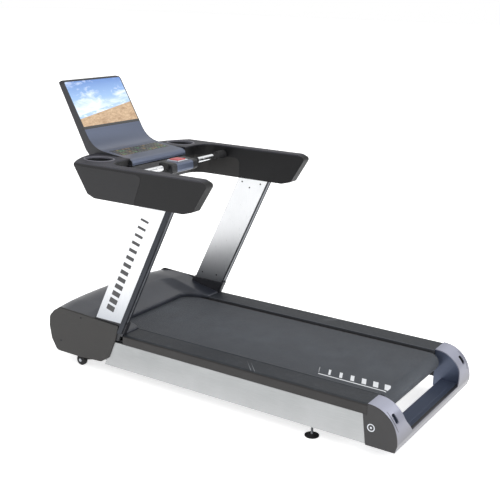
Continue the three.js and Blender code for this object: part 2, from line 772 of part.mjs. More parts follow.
// ---------------------------------------------------------------- arms
const armSide = [
  [armRear, armTop - 18, 16], [armRear + 84, armBottom + 16, 22], [armRear + 141, armBottom, 40],
  [armFront - 137, armBottom, 40], [armFront - 91, armBottom + 18, 20], [armFront, armTop - 12, 12],
  [armFront - 14, armTop, 12], [armRear + 46, armTop, 22],
];

// Pushes the front of an arm forward along a bow that is deepest at the console.
function bowed(geometry) {
  const position = geometry.attributes.position;
  for (let i = 0; i < position.count; i += 1) {
    const outwards = (position.getX(i) - cornerInner) / (armOuter - cornerInner);
    if (position.getY(i) > (armRear + armFront) / 2) {
      position.setY(i, position.getY(i) + armBow * (1 - outwards ** 2));
    }
  }
  return geometry;
}

function arms() {
  const outerSide = rounded(armSide, 4);
  const innerSide = rounded(shifted(armSide.map(([y, z]) => [y, z]), armWall, true).map(
    ([y, z]) => [y, z, 5]), 2);
  const openEnd = cornerInner - 20;
  const throat = (wall) => {
    const behind = armRear - 120;
    const outline = rounded([
      [openEnd - 5, behind], [armInner + wall, behind],
      [armInner + wall, throatFront + wall, throatRadius + wall], [openEnd - 5, throatFront + wall],
    ], 6);
    const lean = new THREE.Matrix4().makeShear(0, 0, 0, 0, 0, -throatLean);
    const column = prismZ(outline, armBottom - 60, armTop + 60).applyMatrix4(lean);
    return column.translate(0, throatLean * armTop, 0);
  };
  const cup = (wall, floor) => prismZ(
    ellipse(cupX, cupY, cupHalfWidth + wall, cupHalfLength + wall, 28), floor, armTop + 20,
  );
  const outer = bowed(prismX(outerSide, cornerInner, armOuter, 0, 6));
  const inside = bowed(prismX(innerSide, openEnd, armOuter - armWall, 0, 6));
  const cavity = cut(inside, cup(armWall, cupFloor - armWall), throat(armWall));
  const mastHole = mastColumn(1.5, armBottom - 30, armTop - 58);
  pair("arm_shell", cut(outer, cavity, cup(0, cupFloor), throat(0), mastHole), darkPlastic);
}

// ---------------------------------------------------------------- console
// The line that faces the runner, from the top of the screen down to the front roll.
const faceTop = [1050, deskLevel + 353];
const faceBend = [906, deskLevel + 110];
const deskCurve = new THREE.QuadraticBezierCurve(
  new THREE.Vector2(890, deskLevel + 83), new THREE.Vector2(848, deskLevel + 11),
  new THREE.Vector2(760, deskLevel + 4),
);
const rollCurve = new THREE.QuadraticBezierCurve(
  new THREE.Vector2(600, deskLevel - 15), new THREE.Vector2(574, deskLevel - 21),
  new THREE.Vector2(576, deskLevel - 47),
);
const plateLine = [
  ...deskCurve.getPoints(6).map((p) => [p.x, p.y]), [612, deskLevel - 13],
  ...rollCurve.getPoints(4).map((p) => [p.x, p.y]),
];
const consoleTop = deskLevel + 356;

function console_() {
  const back = [
    [588, beamTop + touch], [852, beamTop + touch + 8], [898, deskLevel + 3],
    [frontEnd, consoleTop - 9], [frontEnd - 12, consoleTop],
  ];
  const body = [faceTop, faceBend, ...plateLine, ...back];
  const displayLine = [[1048, consoleTop - 6.4], faceBend];
  const displayRoom = strip(lengthened(displayLine, touch), -4, displayThickness + touch);
  const plateRoom = strip(lengthened(plateLine, touch), -4, facePlateThickness + touch);
  const housing = cut(
    prismX(body, -consoleHalf, consoleHalf, 2),
    prismX(displayRoom, -displayHalf - touch, displayHalf + touch),
    prismX(plateRoom, touch - consoleHalf + 3, consoleHalf - 3 - touch),
    box(-132, 132, 640, 760, beamTop - 5, deskLevel - 21),
  );
  piece("console_housing", housing, darkPlastic);
  piece("display_panel", prismX(strip(displayLine, 0, displayThickness), -displayHalf, displayHalf), glass);
  const keypadLine = [[764, deskLevel + 4.5], [664, deskLevel - 7]];
  const keypadRoom = strip(lengthened(keypadLine, touch), -6, 2 + touch);
  const keypadHalf = consoleHalf - 30;
  const plateHalf = consoleHalf - 3.3 - touch;
  piece("console_face_plate", cut(
    prismX(strip(plateLine, 0, facePlateThickness), -plateHalf, plateHalf),
    prismX(keypadRoom, -keypadHalf - touch, keypadHalf + touch),
  ), facePlastic);
  piece("keypad_panel", prismX(strip(keypadLine, -0.6, 1.6), -keypadHalf, keypadHalf), blackGloss);
  const boardZ = deskLevel - 35;
  piece("control_board", join(
    box(-125, 125, 648, 752, boardZ, boardZ + 1.6),
    ...[-90, -30, 30, 90].map((x) => box(x - 12, x + 12, 680, 710, boardZ + 1, boardZ + 6)),
  ), greenBoard);

  const beamSide = rounded([
    [throatFront + 4, beamTop], [645, armBottom + 8, 22], [705, armBottom + 8, 20],
    [770, beamTop, 16],
  ], 3);
  const beamInner = shifted(beamSide, armWall, true);
  piece("console_beam", cut(
    prismX(beamSide, touch - cornerInner, cornerInner - touch),
    prismX(beamInner, -cornerInner - 1, cornerInner + 1),
  ), darkPlastic);
}

// ---------------------------------------------------------------- grip bar and stop button
function grips() {
  const reach = armInner - gripEndGap;
  const collar = (x0, x1, radius) => rodX(radius, x0, x1, gripY, gripZ, 24);
  piece("grip_bar", join(
    collar(-reach, reach, gripRadius),
    collar(stopBoxHalf + touch, sleeveStart - touch, gripRadius + 7),
    collar(touch - sleeveStart, -stopBoxHalf - touch, gripRadius + 7),
    collar(reach - flangeStart, reach - flangeEnd, gripRadius + 11),
    collar(flangeEnd - reach, flangeStart - reach, gripRadius + 11),
  ), rubber);
  const sleeveEnd = reach - flangeStart - 38;
  pair("grip_sleeve", turnedX([
    [gripRadius + touch, sleeveStart], [sleeveRadius, sleeveStart],
    [sleeveRadius, sleeveEnd], [gripRadius + touch, sleeveEnd],
  ], gripY, gripZ, 24), chrome);

  const side = rounded([
    [gripY - 44, gripZ - 34, 16], [gripY + 50, gripZ - 34, 16], [gripY + 57, gripZ + 24, 12],
    [gripY - 40, gripZ + 18, 14],
  ], 3);
  const buttonHalf = 33;
  const well = [gripY - 14, gripY + 42];
  const top = gripZ + 24;
  piece("stop_box", cut(
    prismX(side, -stopBoxHalf, stopBoxHalf, 3),
    rodX(gripRadius + touch, -stopBoxHalf - 1, stopBoxHalf + 1, gripY, gripZ, 24),
    box(-buttonHalf - 0.5, buttonHalf + 0.5, well[0] - 0.5, well[1] + 0.5, top - 8, top + 20),
  ), facePlastic);
  piece("stop_button", box(-buttonHalf, buttonHalf, well[0], well[1], top - 4, top + 5), stopRed);
}

frame();
deckAndBelt();
drive();
incline();
feet();
sides();
endCap();
hood();
masts();
arms();
console_();
grips();

export default treadmill;
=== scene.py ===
import json
import math

import bmesh
import bpy
from mathutils import Matrix, Vector

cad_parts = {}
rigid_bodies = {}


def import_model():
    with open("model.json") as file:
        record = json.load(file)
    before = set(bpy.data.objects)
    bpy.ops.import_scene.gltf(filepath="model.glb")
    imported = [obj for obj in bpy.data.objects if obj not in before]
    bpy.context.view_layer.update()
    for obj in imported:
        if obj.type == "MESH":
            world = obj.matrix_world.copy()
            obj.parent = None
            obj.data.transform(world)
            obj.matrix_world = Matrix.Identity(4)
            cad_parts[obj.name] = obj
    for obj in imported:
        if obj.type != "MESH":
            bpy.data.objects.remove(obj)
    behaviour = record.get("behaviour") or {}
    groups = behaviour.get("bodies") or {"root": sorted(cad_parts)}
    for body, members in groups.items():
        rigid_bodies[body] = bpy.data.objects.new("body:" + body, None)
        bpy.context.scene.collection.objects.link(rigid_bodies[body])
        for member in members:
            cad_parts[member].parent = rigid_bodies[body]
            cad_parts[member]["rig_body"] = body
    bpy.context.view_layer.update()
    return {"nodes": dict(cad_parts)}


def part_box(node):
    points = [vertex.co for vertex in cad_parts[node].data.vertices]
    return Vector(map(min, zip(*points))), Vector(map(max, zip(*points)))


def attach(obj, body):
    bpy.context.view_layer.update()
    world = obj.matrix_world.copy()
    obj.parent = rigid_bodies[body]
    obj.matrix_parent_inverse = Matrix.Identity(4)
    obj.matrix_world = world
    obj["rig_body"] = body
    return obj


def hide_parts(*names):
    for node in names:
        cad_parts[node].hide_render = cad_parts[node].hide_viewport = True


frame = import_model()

# The looks of a motorised gym treadmill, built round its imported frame.
# Lengths are millimetres: +X to the runner's right, +Y towards the console, +Z up. A piece's mesh
# is scaled to metres when it is finished.
MM = 0.001


def edges(node):
    """The node's lowest and highest corners, in millimetres."""
    low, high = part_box(node)
    return [v / MM for v in low], [v / MM for v in high]


# ---------------------------------------------------------------- sizes, from the frame
BELT_LOW, BELT_HIGH = edges("running_belt")
BELT_RADIUS = (BELT_HIGH[2] - BELT_LOW[2]) / 2
BELT_TOP = BELT_HIGH[2]
BELT_THICK = 3
AXIS_Z = (BELT_HIGH[2] + BELT_LOW[2]) / 2
REAR_AXIS_Y = BELT_LOW[1] + BELT_RADIUS
FRONT_AXIS_Y = BELT_HIGH[1] - BELT_RADIUS
RAIL_LOW, RAIL_HIGH = edges("foot_rail_right")
RAIL_TOP = RAIL_HIGH[2]
SIDE = RAIL_HIGH[0]
_, CAP_REAR, CAP_BOTTOM = edges("rear_end_cap")[0]
CAP_FRONT = RAIL_LOW[1] - 0.3
BOLT_X = 408
TRAY_LOW, TRAY_HIGH = edges("rear_tray")
COVER_LOW, COVER_HIGH = edges("side_cover_right")
HOOD_HIGH = edges("hood_top")[1]
PLATE_LOW, PLATE_HIGH = edges("mast_outer_plate_right")
INNER_LOW, INNER_HIGH = edges("mast_inner_plate_right")
ARM_LOW, ARM_HIGH = edges("arm_shell_right")
DESK_HIGH = edges("console_housing")[1]
GRIP_LOW, GRIP_HIGH = edges("grip_bar")
SLEEVE_LOW, SLEEVE_HIGH = edges("grip_sleeve_right")
STOP_LOW, STOP_HIGH = edges("stop_box")
BUTTON_LOW, BUTTON_HIGH = edges("stop_button")

MAST_OUTER = PLATE_HIGH[0]
MAST_INNER = INNER_LOW[0]
MAST_WIDTH = 196
HOOD_TOP = 324
MAST_REAR_AT_HOOD = 450
PLATE_MARGIN = 26
MAST_REAR_AT_ARM = PLATE_LOW[1] - PLATE_MARGIN
MAST_LEAN = (MAST_REAR_AT_HOOD - MAST_REAR_AT_ARM) / (PLATE_HIGH[2] - HOOD_TOP)
ARM_INNER = 422
CORNER_INNER = ARM_LOW[0]
CUP = (ARM_INNER - 77, 700)
CUP_HALF = (66, 80)
CUP_FLOOR = ARM_HIGH[2] - 71
ARM_BOW = 90
THROAT_FRONT = 584
THROAT_LEAN = 0.4
GRIP_Y = (GRIP_LOW[1] + GRIP_HIGH[1]) / 2
GRIP_Z = (GRIP_LOW[2] + GRIP_HIGH[2]) / 2


def mast_rear(z):
    """Where a mast's rear face is at the height z."""
    return MAST_REAR_AT_HOOD - MAST_LEAN * (z - HOOD_TOP)


# ---------------------------------------------------------------- outlines
def rounded(corners, steps=6):
    """A closed outline through (u, v, radius) corners, each turned by an arc of its radius."""
    points = []
    for i, (u, v, radius) in enumerate(corners):
        here = Vector((u, v))
        if not radius:
            points.append(here)
            continue
        back = (Vector(corners[i - 1][:2]) - here).normalized()
        ahead = (Vector(corners[(i + 1) % len(corners)][:2]) - here).normalized()
        half = back.angle(ahead) / 2
        centre = here + (back + ahead).normalized() * radius / math.sin(half)
        start = here + back * radius / math.tan(half) - centre
        end = here + ahead * radius / math.tan(half) - centre
        first = math.atan2(start.y, start.x)
        turn = (math.atan2(end.y, end.x) - first + math.pi) % math.tau - math.pi
        for step in range(steps + 1):
            angle = first + turn * step / steps
            points.append(centre + radius * Vector((math.cos(angle), math.sin(angle))))
    return points


def arc(u, v, radius, first, last, steps=24):
    """Points of an arc about (u, v), between two angles in degrees."""
    angles = [math.radians(first + (last - first) * i / steps) for i in range(steps + 1)]
    return [Vector((u + radius * math.cos(a), v + radius * math.sin(a))) for a in angles]


def curve(start, pull, end, steps=16):
    """Points of a curve that leaves start towards pull and comes into end from it."""
    a, b, c = Vector(start), Vector(pull), Vector(end)
    return [
        a * (1 - t) ** 2 + b * 2 * t * (1 - t) + c * t * t
        for t in (i / steps for i in range(steps + 1))
    ]


def shifted(points, distance):
    """An open line of points moved to its left by a distance."""
    moved = []
    for i, point in enumerate(points):
        before = (point - points[i - 1]).normalized() if i else None
        after = (points[i + 1] - point).normalized() if i < len(points) - 1 else before
        before = before or after
        bisector = before.orthogonal() + after.orthogonal()
        moved.append(point + bisector * distance / (1 + before.dot(after)))
    return moved


def strip(points, inner, outer):
    """A closed outline between two lines that run at two distances left of the points."""
    return shifted(points, inner) + shifted(points, outer)[::-1]


# ---------------------------------------------------------------- shapes
PLACES = {
    "x": lambda u, v, w: Vector((w, u, v)),
    "y": lambda u, v, w: Vector((u, w, v)),
    "z": lambda u, v, w: Vector((u, v, w)),
}


def prism(outline, axis, start, end, slant=(0, 0, 0)):
    """A closed outline pushed from start to end along an axis, and sideways by slant."""
    shape = bmesh.new()
    place = PLACES[axis]
    face = shape.faces.new([shape.verts.new(place(u, v, start)) for u, v in outline])
    pushed = bmesh.ops.extrude_face_region(shape, geom=[face])["geom"]
    ends = [part for part in pushed if isinstance(part, bmesh.types.BMVert)]
    bmesh.ops.translate(shape, vec=place(0, 0, end - start) + Vector(slant), verts=ends)
    bmesh.ops.recalc_face_normals(shape, faces=shape.faces)
    return shape


def block(low, high, radius=0, segments=3):
    """A block between two corners, its edges rounded."""
    shape = bmesh.new()
    bmesh.ops.create_cube(shape, size=1)
    bmesh.ops.scale(shape, vec=[b - a for a, b in zip(low, high)], verts=shape.verts)
    bmesh.ops.translate(shape, vec=[(a + b) / 2 for a, b in zip(low, high)], verts=shape.verts)
    return round_edges(shape, radius, segments) if radius else shape


def round_edges(shape, radius, segments=3, sharper=35, where=None):
    """Rounds the edges that turn by more than an angle, or those of them that where() picks."""
    limit = math.radians(sharper)
    picked = [
        e for e in shape.edges
        if e.is_manifold and e.calc_face_angle() > limit and (where is None or where(e))
    ]
    bmesh.ops.bevel(
        shape, geom=picked, offset=radius, offset_type="OFFSET", segments=segments,
        profile=0.5, affect="EDGES", clamp_overlap=True, material=-1,
    )
    return shape


def turned(profile, axis, centre, steps=64, closed=False):
    """A line of (radius, along) points turned about the axis direction through a centre."""
    shape = bmesh.new()
    direction = PLACES[axis](0, 0, 1)
    side = PLACES[axis](1, 0, 0)
    verts = [shape.verts.new(Vector(centre) + direction * a + side * r) for r, a in profile]
    links = [shape.edges.new(pair) for pair in zip(verts, verts[1:])]
    if closed:
        links.append(shape.edges.new((verts[-1], verts[0])))
    bmesh.ops.spin(
        shape, geom=verts + links, cent=centre, axis=direction, angle=math.tau, steps=steps,
        use_merge=True, use_duplicate=False,
    )
    bmesh.ops.remove_doubles(shape, verts=shape.verts, dist=0.001)
    bmesh.ops.recalc_face_normals(shape, faces=shape.faces)
    return shape


def merged(*shapes):
    """Several closed shapes in one piece."""
    whole = bmesh.new()
    for shape in shapes:
        part = bpy.data.meshes.new("part")
        shape.to_mesh(part)
        shape.free()
        whole.from_mesh(part)
        bpy.data.meshes.remove(part)
    return whole


def mirrored(shape):
    """A copy of a shape on the other side of the middle plane."""
    other = shape.copy()
    bmesh.ops.scale(other, vec=(-1, 1, 1), verts=other.verts)
    bmesh.ops.reverse_faces(other, faces=other.faces)
    return other


def carved(shape, cutter, operation="DIFFERENCE"):
    """A shape with another cut from it, or joined to it, or kept only where both are."""
    scratch = []
    for part in (shape, cutter):
        mesh = bpy.data.meshes.new("scratch")
        part.to_mesh(mesh)
        part.free()
        scratch.append(bpy.data.objects.new("scratch", mesh))
        bpy.context.scene.collection.objects.link(scratch[-1])
    modifier = scratch[0].modifiers.new("cut", "BOOLEAN")
    modifier.operation = operation
    modifier.solver = "EXACT"
    modifier.object = scratch[1]
    result = scratch[0].evaluated_get(bpy.context.evaluated_depsgraph_get())
    made = bmesh.new()
    made.from_mesh(result.to_mesh())
    result.to_mesh_clear()
    for part in scratch:
        mesh = part.data
        bpy.data.objects.remove(part)
        bpy.data.meshes.remove(mesh)
    bmesh.ops.remove_doubles(made, verts=made.verts, dist=0.002)
    return made


# ---------------------------------------------------------------- pieces
def finished(shape, name, body, material, stands_for=(), smooth=38):
    """A shape becomes a piece of the treadmill that moves with a body."""
    bmesh.ops.scale(shape, vec=(MM, MM, MM), verts=shape.verts)
    limit = math.radians(smooth)
    for edge in shape.edges:
        edge.smooth = edge.is_manifold and edge.calc_face_angle() < limit
    for face in shape.faces:
        face.smooth = True
    mesh = bpy.data.meshes.new(name)
    shape.to_mesh(mesh)
    shape.free()
    mesh.materials.append(material)
    piece = bpy.data.objects.new(name, mesh)
    bpy.context.scene.collection.objects.link(piece)
    normals = piece.modifiers.new("even_faces", "WEIGHTED_NORMAL")
    normals.keep_sharp = True
    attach(piece, body)
    if stands_for:
        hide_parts(*stands_for)
    return piece


def both_sides(shape, name, bodies, material, stands_for=""):
    """A shape on the right and its mirror image on the left, on one body or on a body each."""
    bodies = bodies if isinstance(bodies, tuple) else (bodies, bodies)
    for side, body, part in (("left", bodies[1], mirrored(shape)), ("right", bodies[0], shape)):
        nodes = [f"{stands_for}_{side}"] if stands_for else []
        finished(part, f"{name}_{side}", body, material, nodes)


def softened(node, material, radius=1.0, segments=2):
    """The node's own shape with its sharp edges rounded, as a piece that stands for it."""
    shape = bmesh.new()
    shape.from_mesh(frame["nodes"][node].data)
    bmesh.ops.scale(shape, vec=(1 / MM, 1 / MM, 1 / MM), verts=shape.verts)
    bmesh.ops.remove_doubles(shape, verts=shape.verts, dist=0.01)
    bmesh.ops.dissolve_limit(
        shape, angle_limit=math.radians(0.5), verts=shape.verts, edges=shape.edges,
    )
    round_edges(shape, radius, segments)
    body = frame["nodes"][node]["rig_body"]
    finished(shape, f"{node}_finish", body, material, [node])


# ---------------------------------------------------------------- finishes
def colour(code):
    """A linear colour from a six-digit screen colour."""
    values = [int(code[i:i + 2], 16) / 255 for i in (1, 3, 5)]
    linear = [v / 12.92 if v <= 0.04045 else ((v + 0.055) / 1.055) ** 2.4 for v in values]
    return (*linear, 1.0)


class Wire:
    """A value in a material, on which Python's operators add Math nodes."""

    def __init__(self, finish, socket):
        self.finish = finish
        self.socket = socket

    def maths(self, operation, *terms):
        return self.finish.node("Math", {"operation": operation}, dict(enumerate(terms)))

    def __add__(self, other):
        return self.maths("ADD", self, other)

    def __sub__(self, other):
        return self.maths("SUBTRACT", self, other)

    def __rsub__(self, other):
        return self.maths("SUBTRACT", other, self)

    def __mul__(self, other):
        return self.maths("MULTIPLY", self, other)

    def __truediv__(self, other):
        return self.maths("DIVIDE", self, other)

    def __abs__(self):
        return self.maths("ABSOLUTE", self)

    __radd__ = __add__
    __rmul__ = __mul__

    def most(self, other):
        return self.maths("MAXIMUM", self, other)

    def between(self, low, high):
        """0 below low, 1 above high, and an even slope between them."""
        return self.finish.node("MapRange", {"clamp": True}, {0: self, 1: low, 2: high})

    def within(self, low, high, soft=0.5):
        """1 between two values and 0 outside them, with edges that are a little soft."""
        return self.between(low - soft, low + soft) * (1 - self.between(high - soft, high + soft))

    def each(self, pitch):
        """The distance past the last multiple of a pitch."""
        return self.maths("FLOORED_MODULO", self, pitch)


class Finish:
    """One material: a principled shader, and the nodes that vary it over the surface."""

    def __init__(self, name, shade, roughness, metallic=0.0, **constants):
        self.material = bpy.data.materials.new(name)
        self.material.use_nodes = True
        self.tree = self.material.node_tree
        self.shader = self.tree.nodes["Principled BSDF"]
        self.shade = colour(shade)
        self.set("Base Color", self.shade)
        self.set("Roughness", roughness)
        self.set("Metallic", metallic)
        for socket, value in constants.items():
            self.set(socket.replace("_", " "), value)
        self.place = self.node("TexCoord", out="Object")
        self.relief = None

    def node(self, kind, settings=None, values=None, out=0):
        node = self.tree.nodes.new("ShaderNode" + kind)
        settings = dict(settings or {})
        stops = settings.pop("stops", None)
        for key, value in settings.items():
            setattr(node, key, value)
        if stops:
            ramp = node.color_ramp.elements
            while len(ramp) < len(stops):
                ramp.new(0.5)
            for stop, (at, shade) in zip(ramp, stops):
                stop.position = at
                stop.color = colour(shade)
        for key, value in (values or {}).items():
            self.feed(node.inputs[key], value)
        return Wire(self, node.outputs[out])

    def feed(self, socket, value):
        if isinstance(value, Wire):
            self.tree.links.new(value.socket, socket)
        else:
            socket.default_value = value

    def set(self, socket, value):
        self.feed(self.shader.inputs[socket], value)

    def axes(self):
        """The place on the piece along X, Y and Z, in millimetres."""
        parts = self.node("SeparateXYZ", values={0: self.place}).socket.node
        return [Wire(self, parts.outputs[i]) * (1 / MM) for i in range(3)]

    def stretched(self, scales):
        return self.node("Mapping", values={"Vector": self.place, "Scale": scales})

    def noise(self, size, detail=2.0, roughness=0.5, scales=None, distortion=0.0):
        """Cloudy variation from 0 to 1, with patches of about a size in millimetres."""
        return self.node("TexNoise", values={
            "Vector": self.stretched(scales) if scales else self.place, "Scale": 1 / (size * MM),
            "Detail": detail, "Roughness": roughness, "Distortion": distortion,
        })

    def cells(self, size, feature="F1"):
        """The distance from the middles of cells of about a size in millimetres."""
        return self.node("TexVoronoi", {"feature": feature}, {
            "Vector": self.place, "Scale": 1 / (size * MM),
        })

    def blend(self, factor, first, second):
        return self.node("Mix", {"data_type": "RGBA"}, {0: factor, 6: first, 7: second}, out=2)

    def paint(self, factor, shade):
        """Lays another colour over what the surface has so far, where factor is 1."""
        over = colour(shade) if isinstance(shade, str) else shade
        self.shade = self.blend(factor, self.shade, over)
        self.set("Base Color", self.shade)

    def press(self, height, depth):
        """Adds relief of a depth in millimetres to the surface."""
        values = {"Strength": 1.0, "Distance": depth * MM, "Height": height}
        if self.relief:
            values["Normal"] = self.relief
        self.relief = self.node("Bump", values=values)
        self.set("Normal", self.relief)


def leather_grain(finish, size, depth, roughness, spread):
    """The fine pebbled grain of a moulded cover, a little glossier on its tops."""
    pebbles = finish.cells(size, "SMOOTH_F1")
    patches = finish.noise(90, 3)
    finish.press(pebbles, depth)
    finish.set("Roughness", roughness + (patches - 0.5) * spread + (pebbles - 0.5) * 0.08)
    return patches


def moulded(name, shade, lighter, roughness=0.55, grain=1.6, depth=0.12, **constants):
    """Grained plastic that is slightly lighter in broad patches."""
    finish = Finish(name, shade, roughness, **constants)
    patches = leather_grain(finish, grain, depth, roughness, 0.16)
    finish.paint(patches.between(0.3, 0.75) * 0.6, lighter)
    return finish


def rubbed(finish, shade, amount, size=14):
    """Thin scuffs and rubbed spots that lighten a surface a little."""
    scuffs = finish.noise(size, 4, 0.7, scales=(1, 0.12, 1), distortion=0.4)
    finish.paint(scuffs.between(0.62, 0.78) * amount, shade)
    return scuffs


def brushed(name, shade, lighter, roughness, scales, metallic=0.9, depth=0.015):
    """Metal with fine brush lines; scales are small along the lines."""
    finish = Finish(name, shade, roughness, metallic)
    lines = finish.noise(1.2, 3, 0.6, scales=scales)
    clouds = finish.noise(220, 2)
    finish.press(lines, depth)
    finish.paint((lines * 0.5 + clouds * 0.5).between(0.35, 0.65), lighter)
    finish.set("Roughness", roughness + (lines - 0.5) * 0.12)
    return finish


def enamelled(name, shade, lighter, roughness, metallic, flake=0.9, coat=0.35):
    """Metallic paint: fine flakes under a clear coat, with the faint waviness of a sprayed film."""
    finish = Finish(name, shade, roughness, metallic, Coat_Weight=coat, Coat_Roughness=0.12)
    flakes = finish.cells(flake)
    film = finish.noise(9, 2)
    finish.paint(flakes.between(0.1, 0.7) * 0.55 + finish.noise(160, 2) * 0.3, lighter)
    finish.set("Roughness", roughness + (flakes - 0.4) * 0.1)
    finish.press(film, 0.02)
    return finish


def powder_coated():
    finish = Finish("black_powder_coat", "#2a2b2e", 0.5, 0.25)
    peel = finish.noise(1.8, 3, 0.6)
    finish.press(peel, 0.08)
    finish.paint(finish.noise(60, 3).between(0.4, 0.75) * 0.6, "#3a3b3f")
    finish.set("Roughness", 0.42 + peel * 0.2)
    return finish.material


def turned_steel():
    finish = brushed("turned_steel", "#9a9da2", "#c2c5c9", 0.3, (1, 0.06, 0.06))
    return finish.material


def plated_chrome():
    finish = Finish("polished_chrome", "#e9ebee", 0.07, 1.0)
    finish.set("Roughness", 0.05 + finish.noise(24, 3) * 0.09)
    finish.press(finish.noise(3, 2), 0.004)
    return finish.material


def zinc_plated():
    finish = Finish("zinc_plated_steel", "#b4b7bb", 0.32, 0.95)
    finish.paint(finish.noise(7, 3).between(0.4, 0.7), "#8e9298")
    finish.press(finish.noise(1.5, 2), 0.02)
    return finish.material


def blackened_steel():
    finish = Finish("blackened_screws", "#232428", 0.4, 0.7)
    finish.paint(finish.noise(4, 2).between(0.45, 0.7), "#3b3d42")
    finish.press(finish.noise(1.2, 2), 0.02)
    return finish.material


def black_rubber():
    finish = Finish("black_rubber", "#151517", 0.75)
    finish.paint(finish.noise(26, 3).between(0.4, 0.8) * 0.7, "#242427")
    finish.press(finish.noise(0.9, 2), 0.05)
    return finish.material


def phenolic_board():
    finish = Finish("faced_board", "#3f3226", 0.45)
    grain = finish.noise(9, 5, 0.65, scales=(1, 0.05, 1), distortion=0.6)
    finish.paint(grain.between(0.35, 0.7), "#5b4836")
    finish.press(grain, 0.05)
    return finish.material


def printed_circuit():
    finish = Finish("solder_mask", "#14512f", 0.35, Coat_Weight=0.3)
    x, y, _ = finish.axes()
    tracks = x.each(5.08).within(0, 0.8, 0.15).most(y.each(7.62).within(0, 0.8, 0.15))
    finish.paint(tracks * finish.noise(12, 1).between(0.48, 0.52), "#2c8a55")
    finish.press(tracks, 0.05)
    return finish.material


def cast_inverter():
    finish = brushed("cast_inverter_case", "#8d9095", "#b0b3b7", 0.42, (1, 1, 0.1))
    return finish.material


def corner_distance(finish, along, up, edge, ceiling, radius):
    """How far a point is outside a round-cornered panel from edge onwards, below ceiling."""
    past = ((edge - along) + radius).most(0)
    over = ((up - ceiling) + radius).most(0)
    return finish.node("Math", {"operation": "SQRT"}, {0: past * past + over * over}) - radius


def arm_cover():
    """Black moulded covers; the front part of each side is a smoother, paler insert, and a painted
    highlight lightens the tops.
    """
    finish = moulded(
        "arm_cover_grain", "#121214", "#1b1b1d", 0.48, 1.5, 0.12, Specular_IOR_Level=0.3,
    )
    x, y, z = finish.axes()
    across = abs(x)
    outside = across.between(ARM_HIGH[0] - 14, ARM_HIGH[0] - 9)
    edge = 300 + (ARM_HIGH[2] - z) * 0.36
    outer = corner_distance(finish, y, z, edge, ARM_HIGH[2] - 17, 34)
    finish.paint(outside * (1 - outer.between(-0.6, 0.6)) * 0.85, "#2a2a2c")
    inside = 1 - across.between(ARM_INNER + 6, ARM_INNER + 9)
    inner = corner_distance(finish, y, z, 345, ARM_HIGH[2] - 62, 30)
    finish.paint(inside * (1 - inner.between(-0.6, 0.6)) * 0.8, "#302f2e")
    # Painted highlight: the tops of the arms are painted a paler blue-grey, as if lit from above.
    on_top = z.between(ARM_HIGH[2] - 9, ARM_HIGH[2] - 3)
    finish.paint(on_top * 0.6, "#42424b")
    seam = inside * (1 - abs(inner).between(0.4, 1.3))
    finish.press(1 - seam, 0.6)
    return finish.material


def cup_rim():
    finish = moulded("cup_rim", "#6d6d76", "#7d7d87", 0.4, 1.2, 0.05)
    return finish.material


def dark_console():
    finish = moulded("dark_console_grain", "#232429", "#2f3036", 0.48, 1.3, 0.1)
    rubbed(finish, "#454750", 0.25)
    return finish.material


def side_cover_grain():
    finish = moulded("side_cover_grain", "#252423", "#32302f", 0.55, 2.0, 0.18)
    rubbed(finish, "#4c4a47", 0.3, 22)
    return finish.material


def trim_black():
    finish = moulded("black_trim", "#1a1b1e", "#26272b", 0.42, 1.2, 0.06)
    return finish.material


def satin_hood():
    """Slate moulding with a low sheen, a little dusty where it lies flat."""
    finish = Finish("satin_slate_hood", "#2b2f39", 0.36, 0.15, Coat_Weight=0.3, Coat_Roughness=0.25)
    pebbles = finish.cells(1.1, "SMOOTH_F1")
    clouds = finish.noise(150, 3)
    finish.press(pebbles, 0.05)
    finish.paint(clouds.between(0.35, 0.7) * 0.6, "#41454f")
    finish.set("Roughness", 0.32 + clouds * 0.14)
    rubbed(finish, "#5a5e69", 0.25, 18)
    return finish.material


def rail_cover():
    """The foot rails: a slate tread on top, a browner black down the outer side, and a painted
    highlight along the inner bead.
    """
    finish = moulded("foot_rail_tread", "#23272d", "#30353c", 0.52, 1.1, 0.14)
    x, y, z = finish.axes()
    across = abs(x)
    side = 1 - z.between(RAIL_TOP - 7, RAIL_TOP - 4)
    finish.paint(side, "#211f1f")
    # Painted highlight: a paler line along the bead at the inner edge, where the rounded edge would
    # catch the light.
    lip = across.within(RAIL_LOW[0], RAIL_LOW[0] + 5)
    finish.paint(lip * 0.5, "#5c6068")
    ribs = across.each(7).within(1.5, 5.5, 0.8) * across.within(RAIL_LOW[0] + 16, SIDE - 22, 1)
    finish.press(ribs, 0.25)
    slanted = y + (across - RAIL_LOW[0] - 12) * 0.9
    marks = slanted.within(-216.5, -213.5).most(slanted.within(-237.5, -234.5))
    on_top = z.between(RAIL_TOP - 2, RAIL_TOP - 1) * across.within(RAIL_LOW[0] + 10, SIDE - 12)
    finish.paint(marks * on_top, "#b9bec6")
    worn = finish.noise(45, 4, 0.7).between(0.55, 0.75)
    finish.paint(worn * 0.3 * (1 - side), "#565a61")
    return finish.material


